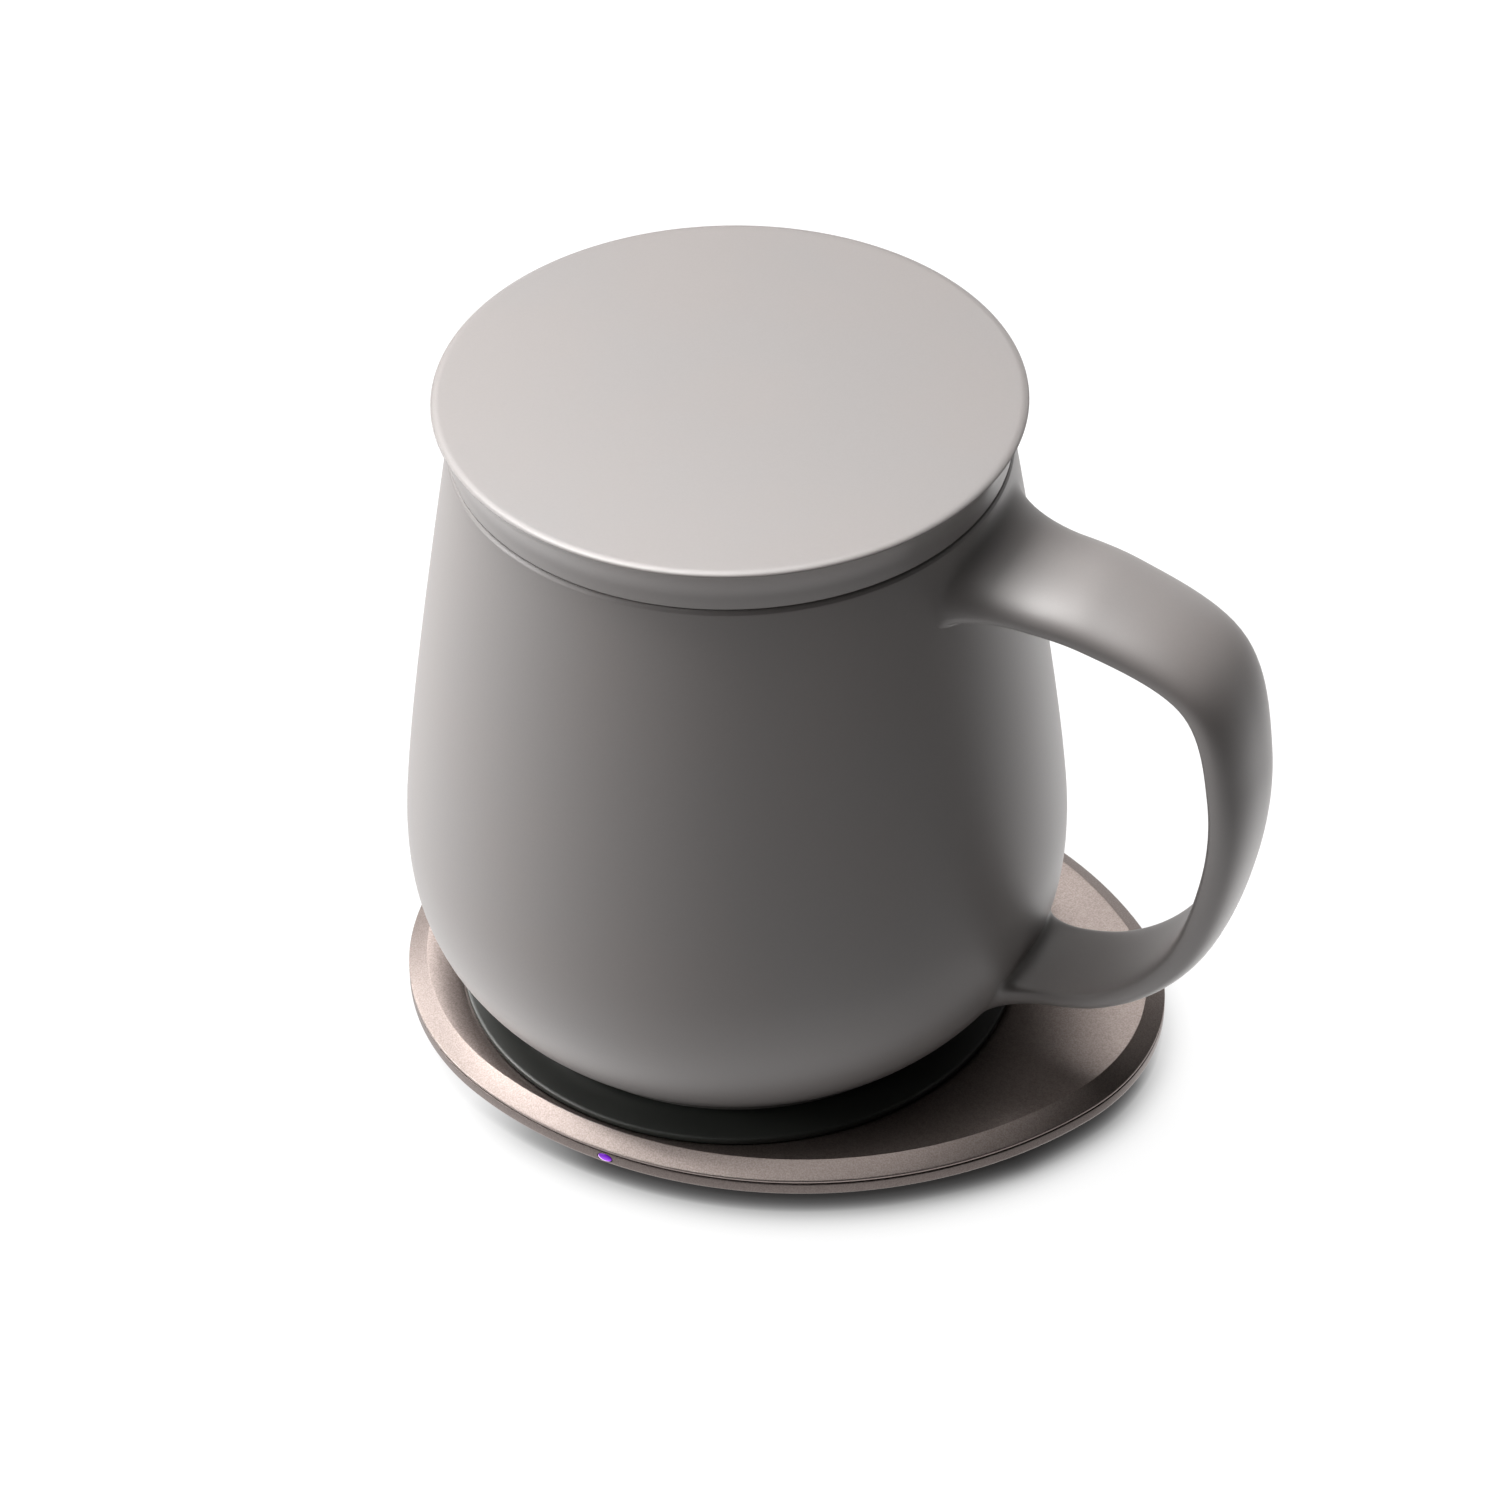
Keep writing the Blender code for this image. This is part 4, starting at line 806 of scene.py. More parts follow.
@dataclass(frozen=True)
class EggOutline:
    """The coaster's outline: a round end and a tip, joined by sides that swell a little."""

    round_radius: float = 42.1 * MM
    round_x: float = -7.7 * MM
    tip_radius: float = 33.4 * MM
    spacing: float = 38.2 * MM
    swell: float = 3.9 * MM
    tip_steps: int = 24
    front_steps: int = 26
    back_steps: int = 20
    round_steps: int = 30

    def _reach(self, radius: float, end_radius: float) -> float:
        """Return how far along the axis a side's centre lies from an end's centre."""
        half = self.round_radius + self.swell
        return math.sqrt((half - end_radius) * (2 * radius - end_radius - half))

    def side(self) -> tuple[float, Vector]:
        """Return the side's radius and its centre, for the side on +Y."""
        half = self.round_radius + self.swell
        low, high = half, half + 100 * self.spacing
        for _ in range(HALVINGS):
            middle = (low + high) / 2
            ends = (self.round_radius, self.tip_radius)
            if sum(self._reach(middle, end) for end in ends) < self.spacing:
                low = middle
            else:
                high = middle
        return low, Vector((self.round_x + self._reach(low, self.round_radius), half - low))

    def ring(self, inset: float, height: float) -> Ring:
        """Return the outline, moved inwards, as a level ring.

        Args:
            inset: How far it is moved inwards.
            height: Its height.

        Returns:
            The ring, anticlockwise from the tip.
        """
        radius, side = self.side()
        tip = Vector((self.round_x + self.spacing, 0.0))
        back = Vector((self.round_x, 0.0))
        to_tip, to_back = tip - side, back - side
        tip_turn = math.atan2(to_tip.y, to_tip.x)
        back_turn = math.atan2(to_back.y, to_back.x)
        arcs = (
            (tip, self.tip_radius, 0.0, tip_turn, self.tip_steps),
            (side, radius, tip_turn, math.pi / 2, self.front_steps),
            (side, radius, math.pi / 2, back_turn, self.back_steps),
            (back, self.round_radius, back_turn, math.pi, self.round_steps),
        )
        upper = []
        for centre, size, start, end, steps in arcs:
            for angle in spaced(start, end, steps)[:-1]:
                upper.append(centre + (size - inset) * Vector((math.cos(angle), math.sin(angle))))
        last = back - Vector((self.round_radius - inset, 0.0))
        lower = [Vector((point.x, -point.y)) for point in reversed(upper[1:])]
        return [Vector((point.x, point.y, height)) for point in upper + [last] + lower]

    def circle(self, radius: float, height: float) -> Ring:
        """Return a circle whose points face those of the outline.

        Args:
            radius: Its radius.
            height: Its height.

        Returns:
            The ring.
        """
        flats = [Vector((point.x, point.y)).normalized() * radius for point in self.ring(0.0, 0.0)]
        return [Vector((flat.x, flat.y, height)) for flat in flats]

    def place(self, angle: float, inset: float, height: float) -> tuple[Vector, Vector]:
        """Return a place on a side and the direction that faces out there.

        Args:
            angle: The direction, as an angle about the vertical.
            inset: How far inside the outline the place lies.
            height: Its height.

        Returns:
            The place and the direction.
        """
        radius, side = self.side()
        outward = Vector((math.cos(angle), math.sin(angle), 0.0))
        centre = Vector((side.x, math.copysign(side.y, -outward.y), height))
        return centre + outward * (radius - inset), outward


def add_piece(
    obj: bpy.types.Object,
    body: Body,
    material: bpy.types.Material,
    stands_for: Sequence[str] = (),
) -> None:
    """Dress a finished piece, put it on its body and hide the nodes that it stands for.

    Args:
        obj: The piece.
        body: The body that it rides on.
        material: Its material.
        stands_for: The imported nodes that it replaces.
    """
    obj.data.materials.clear()
    obj.data.materials.append(material)
    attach(obj, body.value)
    if stands_for:
        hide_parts(*stands_for)
    LOG.info("%s rides on %s, %d faces", obj.name, body.value, len(obj.data.polygons))


# Shapes that follow a path or repeat, made by geometry nodes


class ShapeNodes(Nodes):
    """A geometry node tree with named inputs that ends in real geometry with a material."""

    def __init__(self, name: str) -> None:
        """Make the tree with its geometry output and its material input.

        Args:
            name: The tree's name.
        """
        self.tree = bpy.data.node_groups.new(name, "GeometryNodeTree")
        sockets = self.tree.interface
        sockets.new_socket("Geometry", in_out="OUTPUT", socket_type="NodeSocketGeometry")
        self.names: dict[str, str] = {}
        self.start = self.tree.nodes.new("NodeGroupInput")
        self.end = self.tree.nodes.new("NodeGroupOutput")
        self.input("Material", "NodeSocketMaterial")

    def input(self, name: str, kind: str = "NodeSocketFloat") -> bpy.types.NodeSocket:
        """Add a named input.

        Args:
            name: The input's name.
            kind: Its socket type.

        Returns:
            The socket that carries it.
        """
        made = self.tree.interface.new_socket(name, in_out="INPUT", socket_type=kind)
        self.names[name] = made.identifier
        return self.start.outputs[name]

    def finish(self, geometry: bpy.types.NodeSocket) -> None:
        """Make the geometry real, give it the material and send it out.

        Args:
            geometry: The geometry.
        """
        real = self.node("GeometryNodeRealizeInstances", {"Geometry": geometry}).outputs[0]
        sockets = {"Geometry": real, "Material": self.start.outputs["Material"]}
        self.feed(self.end.inputs[0], self.node("GeometryNodeSetMaterial", sockets).outputs[0])

    def mesh(self, name: str, sizes: dict[str, Any]) -> bpy.types.Object:
        """Run the tree and keep its result as a plain mesh.

        Args:
            name: The object's name.
            sizes: The inputs by name.

        Returns:
            The object.
        """
        holder = bpy.data.objects.new(name, bpy.data.meshes.new(name))
        bpy.context.scene.collection.objects.link(holder)
        modifier = holder.modifiers.new("shape", "NODES")
        modifier.node_group = self.tree
        for label, size in sizes.items():
            modifier[self.names[label]] = size
        plain_mesh(holder, TREE_ANGLE)
        return holder


def winding(
    name: str, box: tuple[Vector, Vector], hole: float, material: bpy.types.Material
) -> bpy.types.Object:
    """Wind a flat coil of round wire in the space of its packed band.

    Args:
        name: The object's name.
        box: The band's lowest and highest corner.
        hole: The radius of the hole in its middle.
        material: The wire's material.

    Returns:
        The object.
    """
    low, high = box
    wire = (high.z - low.z) / 2
    tree = ShapeNodes("wire_winding")
    sockets = {
        "Resolution": COIL_STEPS,
        "Rotations": tree.input("Turns"),
        "Start Radius": tree.input("Inner Radius"),
        "End Radius": tree.input("Outer Radius"),
        "Height": 0.0,
    }
    path = tree.node("GeometryNodeCurveSpiral", sockets).outputs[0]
    sockets = {"Resolution": WIRE_SIDES, "Radius": tree.input("Wire Radius")}
    section = tree.node("GeometryNodeCurvePrimitiveCircle", sockets).outputs[0]
    sockets = {"Curve": path, "Profile Curve": section, "Fill Caps": True}
    tube = tree.node("GeometryNodeCurveToMesh", sockets).outputs[0]
    shift = tree.node("ShaderNodeCombineXYZ", {"Z": tree.input("Height")}).outputs[0]
    sockets = {"Geometry": tube, "Translation": shift}
    tree.finish(tree.node("GeometryNodeTransform", sockets).outputs[0])
    sizes = {
        "Material": material,
        "Turns": COIL_TURNS,
        "Inner Radius": hole + wire,
        "Outer Radius": min(-low.x, high.x, high.y, -low.y) - wire,
        "Wire Radius": wire * WIRE_SHARE,
        "Height": (low.z + high.z) / 2,
    }
    return tree.mesh(name, sizes)


def contact_tree() -> ShapeNodes:
    """Return the tree of a row of flat contacts on both faces of a tongue."""
    tree = ShapeNodes("contact_row")
    size, first, pitch, other = (
        tree.input(name, "NodeSocketVector")
        for name in ("Contact Size", "First Place", "Pitch", "Other Face")
    )
    sockets = {"Count": CONTACTS, "Start Location": first, "Offset": pitch}
    line = tree.node("GeometryNodeMeshLine", sockets, mode="OFFSET").outputs[0]
    box = tree.node("GeometryNodeMeshCube", {"Size": size}).outputs[0]
    row = tree.node("GeometryNodeInstanceOnPoints", {"Points": line, "Instance": box}).outputs[0]
    below = tree.node("GeometryNodeTransform", {"Geometry": row, "Translation": other}).outputs[0]
    both = tree.node("GeometryNodeJoinGeometry", {0: row})
    tree.feed(both.inputs[0], below)
    tree.finish(both.outputs[0])
    return tree


# Coaster


@dataclass
class Coaster:
    """The charging coaster: pad, tray, top plate, disc, light, power inlet and coil."""

    finishes: Finishes
    outline: EggOutline = field(default_factory=EggOutline)
    pad_stand: float = 0.8 * MM
    pad_thickness: float = 1.0 * MM
    pad_round: float = 0.35 * MM
    recess_inset: float = 6.0 * MM
    bevel_height: float = 2.95 * MM
    bevel_inset: float = 3.0 * MM
    band_height: float = 1.75 * MM
    foot_round: Point2 = (0.15 * MM, 0.5 * MM)
    band_round: Point2 = (0.35 * MM, 0.14 * MM)
    chamfer_drop: float = 2.0 * MM
    chamfer_round: float = 0.7 * MM
    plate_edge: float = 0.35 * MM
    plate_round: Point2 = (0.08 * MM, 0.16 * MM)
    chamfer_width: float = 2.8 * MM
    floor_margin: float = 0.9 * MM
    top_wall: float = 1.4 * MM
    tray_wall: float = 1.4 * MM
    tray_floor: float = 1.0 * MM
    tray_chamfer: Point2 = (1.9 * MM, 1.3 * MM)
    tray_round: Point2 = (0.4 * MM, 0.5 * MM)
    lip_thickness: float = 0.9 * MM
    lip_drop: float = 1.1 * MM
    seat_depth: float = 0.8 * MM
    seat_width: float = 3.0 * MM
    dish_width: float = 0.8 * MM
    dish_drop: float = 0.35 * MM
    dish_round: Point2 = (0.3 * MM, 0.12 * MM)
    disc_stand: float = 0.5 * MM
    disc_round: float = 0.45 * MM
    disc_steps: int = 240
    lens_size: Point2 = (2.3 * MM, 1.4 * MM)
    lens_gap: float = 0.1 * MM
    lens_steps: int = 40
    lens_stations: tuple[Point2, ...] = (
        (-2.6 * MM, 1.0),
        (-0.12 * MM, 1.0),
        (-0.02 * MM, 0.97),
        (0.06 * MM, 0.86),
        (0.11 * MM, 0.66),
        (0.13 * MM, 0.4),
    )
    light_cut: Point2 = (-3.1 * MM, 0.5 * MM)
    light_angle: float = math.radians(-102.4)
    port_size: Point2 = (8.94 * MM, 3.2 * MM)
    port_length: float = 7.3 * MM
    port_wall: float = 0.3 * MM
    port_back: float = 1.3 * MM
    port_round: float = 0.1 * MM
    port_steps: int = 48
    port_cut: Point2 = (-3.4 * MM, 3.5 * MM)
    tongue_taper: float = 0.35 * MM
    tongue_draw: float = 0.25 * MM
    contact_size: Point3 = (0.28 * MM, 3.2 * MM, 0.04 * MM)
    contact_pitch: float = 0.5 * MM
    contact_start: Point2 = (2.75 * MM, 2.0 * MM)
    coil_hole: float = 9.0 * MM

    def __post_init__(self) -> None:
        """Work out the heights and radii that follow from the sizes."""
        radius, side = self.outline.side()
        self.recess_ceiling = self.pad_thickness + FIT_GAP
        self.floor_low = self.recess_ceiling + self.tray_floor
        self.band_low = self.pad_stand + self.bevel_height
        self.band_high = self.band_low + self.band_height
        self.plate_low = self.band_high + FIT_GAP
        self.floor_high = self.plate_low + self.chamfer_drop
        self.plate_under = self.floor_high - self.top_wall
        self.seat_radius = radius - side.length - self.chamfer_width - self.floor_margin
        self.seat_floor = self.floor_high - self.seat_depth
        self.disc_top = self.floor_high + self.disc_stand
        self.light_height = self.band_low + self.band_height / 2
        self.port_height = self.floor_low + FIT_GAP + self.port_size[1] / 2

    def build(self) -> None:
        """Build and dress every piece that shows, and dress the pieces inside."""
        tray = self.build_tray()
        plate = self.build_plate()
        for shell in (tray, plate):
            carve(shell, self.light_tool())
            carve(shell, self.port_tool())
        # The tray takes the darkened metal, painted shade for the floor's shadow under the coaster.
        dark, metal = self.finishes.get(TRAY_METAL_PAINTED_SHADE), self.finishes.get(METAL)
        add_piece(tray, Body.COASTER, dark, ["coaster_tray"])
        add_piece(plate, Body.COASTER, metal, ["top_plate"])
        silicone, satin = self.finishes.get(SILICONE), self.finishes.get(DISC)
        add_piece(self.build_pad(), Body.COASTER, silicone, ["base_pad"])
        add_piece(self.build_disc(), Body.COASTER, satin, ["charging_disc"])
        self.build_light()
        self.build_port()
        self.build_coil()

    def _egg(self, name: str, profile: Sequence[Point2], closed: bool = False) -> bpy.types.Object:
        """Loft a profile of insets and heights round the outline.

        Args:
            name: The object's name.
            profile: Insets and heights.
            closed: Whether the last point joins the first.

        Returns:
            The object.
        """
        bm = bmesh.new()
        loft(bm, [self.outline.ring(*point) for point in profile], closed)
        return make_mesh(name, bm)

    def build_pad(self) -> bpy.types.Object:
        """Return the silicone pad under the tray."""
        inset = self.recess_inset + FIT_GAP
        corners = (
            (inset + 6 * MM, 0.0, SHARP),
            (inset, 0.0, self.pad_round),
            (inset, self.pad_thickness, FINE),
            (inset + 2 * MM, self.pad_thickness, SHARP),
        )
        return self._egg("pad", softened(corners, False))

    def build_tray(self) -> bpy.types.Object:
        """Return the lower shell with its undercut and its side band."""
        wall = self.tray_wall
        corners = (
            (self.recess_inset + 4 * MM, self.recess_ceiling, SHARP),
            (self.recess_inset, self.recess_ceiling, FINE),
            (self.recess_inset, self.pad_stand, self.foot_round[0]),
            (self.bevel_inset, self.pad_stand, self.foot_round[1]),
            (0.0, self.band_low, self.band_round[0]),
            (0.0, self.band_high, self.band_round[1]),
            (wall, self.band_high, FINE),
            (wall, self.floor_low + self.tray_chamfer[1], self.tray_round[0]),
            (wall + self.tray_chamfer[0], self.floor_low, self.tray_round[1]),
            (wall + 5 * MM, self.floor_low, SHARP),
        )
        return self._egg("tray", softened(corners, False))

    def build_plate(self) -> bpy.types.Object:
        """Return the metal top with its chamfer, floor and stepped seat for the disc."""
        outline = self.outline
        slope = self.chamfer_width / (self.chamfer_drop - self.plate_edge)
        across = self.top_wall * math.hypot(slope, 1.0)
        lip = self.tray_wall + FIT_GAP
        lip_inner = lip + self.lip_thickness
        lip_root = self.plate_low + (lip_inner - across) / slope
        under_inset = (self.plate_under - self.plate_low) * slope + across
        lip_low = self.plate_low - self.lip_drop
        outer = (
            (under_inset, self.plate_under, SHARP),
            (lip_inner, lip_root, SHARP),
            (lip_inner, lip_low, FINE),
            (lip, lip_low, FINE),
            (lip, self.plate_low, FINE / 2),
            (0.0, self.plate_low, self.plate_round[0]),
            (0.0, self.plate_low + self.plate_edge, self.plate_round[1]),
            (self.chamfer_width, self.floor_high, self.chamfer_round),
            (self.chamfer_width + 0.05 * MM, self.floor_high, SHARP),
        )
        seat = self.seat_radius
        hole = seat - self.seat_width
        inner = (
            (seat + self.dish_width, self.floor_high, self.dish_round[0]),
            (seat, self.floor_high - self.dish_drop, self.dish_round[1]),
            (seat, self.seat_floor, FINE),
            (hole, self.seat_floor, FINE),
            (hole, self.plate_under, SHARP),
        )
        rings = [outline.ring(*point) for point in softened(outer, False)]
        rings += [outline.circle(*point) for point in softened(inner, False)]
        bm = bmesh.new()
        loft(bm, rings, closed=True)
        return make_mesh("plate", bm)

    def build_disc(self) -> bpy.types.Object:
        """Return the dark disc that the mug stands on."""
        radius = self.seat_radius - FIT_GAP
        plug = self.seat_radius - self.seat_width - FIT_GAP
        low = self.seat_floor + FIT_GAP
        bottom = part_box("charging_disc")[0].z
        corners = (
            (0.0, bottom, SHARP),
            (plug, bottom, 2 * FINE),
            (plug, low, SHARP),
            (radius, low, FINE),
            (radius, self.disc_top, self.disc_round),
            (radius - 3 * MM, self.disc_top, SHARP),
            (0.0, self.disc_top, SHARP),
        )
        return turned("disc", softened(corners, False), self.disc_steps)

    def _light_mouth(self) -> tuple[Vector, Vector]:
        """Return the middle of the light's hole and the direction that it faces."""
        return self.outline.place(self.light_angle, 0.0, self.light_height)

    def _port_mouth(self) -> tuple[Vector, Vector]:
        """Return the middle of the power inlet's mouth and the direction that it faces."""
        return self.outline.place(math.pi / 2, self.bevel_inset, self.port_height)

    def _slot(self, size: Point2, reach: float) -> Ring:
        """Return a slot outline of the power inlet, a distance in front of its mouth."""
        return mouth_ring(size, self._port_mouth(), reach, self.port_steps, (size[0] - size[1]) / 2)

    def light_tool(self) -> bpy.types.Object:
        """Return the tool that cuts the light's hole."""
        size = grown(self.lens_size, self.lens_gap)
        bm = bmesh.new()
        mouth = self._light_mouth()
        loft(bm, [mouth_ring(size, mouth, reach, self.lens_steps) for reach in self.light_cut])
        return make_mesh("light_tool", bm)

    def port_tool(self) -> bpy.types.Object:
        """Return the tool that cuts the power inlet's opening."""
        bm = bmesh.new()
        loft(bm, [self._slot(grown(self.port_size, FIT_GAP), reach) for reach in self.port_cut])
        return make_mesh("port_tool", bm)

    def build_light(self) -> None:
        """Build the light guide with its domed face."""
        mouth = self._light_mouth()
        bm = bmesh.new()
        rings = []
        for reach, share in self.lens_stations:
            size = (self.lens_size[0] * share, self.lens_size[1] * share)
            rings.append(mouth_ring(size, mouth, reach, self.lens_steps))
        loft(bm, rings)
        half = (self.lens_size[0] / 2, self.lens_size[1] / 2)
        glow = self.finishes.get(LitLens(self.light_angle, tuple(mouth[0]), half))
        add_piece(make_mesh("lens", bm), Body.COASTER, glow, ["led_lens"])

    def build_port(self) -> None:
        """Build the power inlet's shell, its tongue and the contacts on the tongue."""
        inner = grown(self.port_size, -self.port_wall)
        middle = grown(self.port_size, -self.port_wall / 2)
        stations = (
            (self.port_size, -self.port_length),
            (self.port_size, -self.port_round),
            (middle, 0.0),
            (inner, -self.port_round),
            (inner, self.port_back - self.port_length),
        )
        bm = bmesh.new()
        loft(bm, [self._slot(size, reach) for size, reach in stations])
        steel = self.finishes.get(STEEL)
        add_piece(make_mesh("port_shell", bm), Body.COASTER, steel, ["usb_c_shell"])
        low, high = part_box("usb_c_tongue")
        tongue = self._tongue(low, high)
        add_piece(tongue, Body.COASTER, self.finishes.get(POLYMER), ["usb_c_tongue"])
        left = self._port_mouth()[0].x - self.contact_start[0]
        thickness = self.contact_size[2]
        gold = self.finishes.get(GOLD)
        sizes = {
            "Material": gold,
            "Contact Size": self.contact_size,
            "First Place": (left, high.y - self.contact_start[1], high.z + thickness / 2),
            "Pitch": (self.contact_pitch, 0.0, 0.0),
            "Other Face": (0.0, 0.0, low.z - high.z - thickness),
        }
        add_piece(contact_tree().mesh("port_contacts", sizes), Body.COASTER, gold)

    def _tongue(self, low: Vector, high: Vector) -> bpy.types.Object:
        """Return the contact tongue with a tapered front.

        Args:
            low: Its lowest corner.
            high: Its highest corner.

        Returns:
            The object.
        """
        middle = (low.z + high.z) / 2
        half = (high.z - low.z) / 2
        stations = (
            (low.y, 1.0, 0.0),
            (high.y - self.tongue_taper, 1.0, 0.0),
            (high.y, 0.5, self.tongue_draw),
        )
        rings = []
        for y, share, draw in stations:
            left, right = low.x + draw, high.x - draw
            corners = ((left, -half), (right, -half), (right, half), (left, half))
            rings.append([Vector((x, y, middle + z * share)) for x, z in corners])
        bm = bmesh.new()
        loft(bm, rings)
        return make_mesh("port_tongue", bm, TONGUE_ANGLE)

    def build_coil(self) -> None:
        """Build the coaster's coil of round wire."""
        copper = self.finishes.get(COPPER)
        coil = winding("coaster_coil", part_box("transmitter_coil"), self.coil_hole, copper)
        add_piece(coil, Body.COASTER, copper, ["transmitter_coil"])


# Mug


@dataclass(frozen=True)
class MugProfile:
    """The mug's outer side: foot to belly and belly to rim, heights from the foot's plane."""

    foot_radius: float = 36.1 * MM
    foot_edge: float = 1.2 * MM
    flare_angle: float = math.radians(40)
    flare_reach: float = 15.3 * MM
    belly_radius: float = 48.0 * MM
    belly_height: float = 27.5 * MM
    reach_down: float = 6.8 * MM
    reach_up: float = 13.0 * MM
    rim_radius: float = 38.9 * MM
    height: float = 93.85 * MM

    def curves(self) -> tuple[Sequence[Vector], Sequence[Vector]]:
        """Return the knots of the two curves, as radius and height."""
        foot = Vector((self.foot_radius, self.foot_edge))
        flare = Vector((math.cos(self.flare_angle), math.sin(self.flare_angle))) * self.flare_reach
        belly = Vector((self.belly_radius, self.belly_height))
        rim = Vector((self.rim_radius, self.height))
        lower = (foot, foot + flare, belly - Vector((0.0, self.reach_down)), belly)
        upper = (belly, belly + Vector((0.0, self.reach_up)), rim, rim)
        return lower, upper

    def radius(self, height: float) -> float:
        """Return the outer radius at a height.

        Args:
            height: A height from the foot's edge to the rim.

        Returns:
            The radius.
        """
        lower, upper = self.curves()
        curve = lower if height < self.belly_height else upper
        low, high = 0.0, 1.0
        for _ in range(HALVINGS):
            middle = (low + high) / 2
            if bezier(curve, middle).y < height:
                low = middle
            else:
                high = middle
        return bezier(curve, low).x


@dataclass(frozen=True)
class HandleShape:
    """The strap handle: a smooth path from rim to foot with a section that narrows."""

    azimuth: float = math.radians(-11.6)
    reach: float = 76.1 * MM
    top_height: float = 84.3 * MM
    low_height: float = 14.0 * MM
    top_width: float = 22.0 * MM
    low_width: float = 15.2 * MM
    thickness: float = 5.1 * MM
    outer_share: float = 0.7
    outer_power: float = 2.3
    inner_power: float = 5.0
    points: int = 60
    path: tuple[Point2, ...] = (
        (0.54, 1.0),
        (0.745, 0.98),
        (0.94, 0.888),
        (1.0, 0.672),
        (0.993, 0.441),
        (0.924, 0.205),
        (0.778, 0.054),
        (0.564, 0.0),
    )

    def centre(self, share: float) -> Vector:
        """Return a point of the centre line, as reach and height.

        Args:
            share: The share of the handle's run.

        Returns:
            The point.
        """
        rise = self.top_height - self.low_height
        line = [Vector((self.reach * x, self.low_height + rise * y)) for x, y in self.path]
        line = [2 * line[0] - line[1]] + line + [2 * line[-1] - line[-2]]
        span = share * (len(line) - 3)
        first = min(int(span), len(line) - 4)
        before, start, end, after = line[first : first + 4]
        knots = (start, start + (end - before) / 6, end - (after - start) / 6, end)
        return bezier(knots, span - first)

    def frame(self, share: float) -> tuple[Vector, Vector, Vector, Vector]:
        """Return the centre and the directions across, outward and ahead.

        Args:
            share: The share of the handle's run.

        Returns:
            The four vectors.
        """
        step = 0.002
        centre = self.centre(share)
        ahead = self.centre(min(share + step, 1.0)) - self.centre(max(share - step, 0.0))
        ahead = ahead.normalized()
        radial = Vector((math.cos(self.azimuth), math.sin(self.azimuth), 0.0))
        across = Vector((-radial.y, radial.x, 0.0))
        place = radial * centre.x + Vector((0.0, 0.0, centre.y))
        out = radial * -ahead.y + Vector((0.0, 0.0, ahead.x))
        return place, across, out, radial * ahead.x + Vector((0.0, 0.0, ahead.y))

    def ring(self, share: float, grow: Point3 = (0.0, 0.0, 0.0)) -> Ring:
        """Return the section at a share of the run, moved outwards by grow.

        Args:
            share: The share of the handle's run.
            grow: How far it is moved outwards: to the sides, and at its outer and inner face.

        Returns:
            The ring.
        """
        place, across, out, _ = self.frame(share)
        half = (self.low_width + (self.top_width - self.low_width) * (1.0 - share) ** 2) / 2
        points = []
        for index in range(self.points):
            angle = math.tau * index / self.points
            outer = index <= self.points // 2
            power = self.outer_power if outer else self.inner_power
            depth_share = self.outer_share if outer else 1.0 - self.outer_share
            depth = depth_share * self.thickness
            x = math.copysign(abs(math.cos(angle)) ** (2.0 / power), math.cos(angle))
            y = math.copysign(abs(math.sin(angle)) ** (2.0 / power), math.sin(angle))
            slope = Vector((
                math.copysign(abs(x) ** (power - 1), x) / half,
                math.copysign(abs(y) ** (power - 1), y) / depth,
            ))
            shift = slope.normalized()
            x_place = x * half + shift.x * grow[0]
            y_place = y * depth + shift.y * grow[1 if outer else 2]
            points.append(place + across * x_place + out * y_place)
        return points


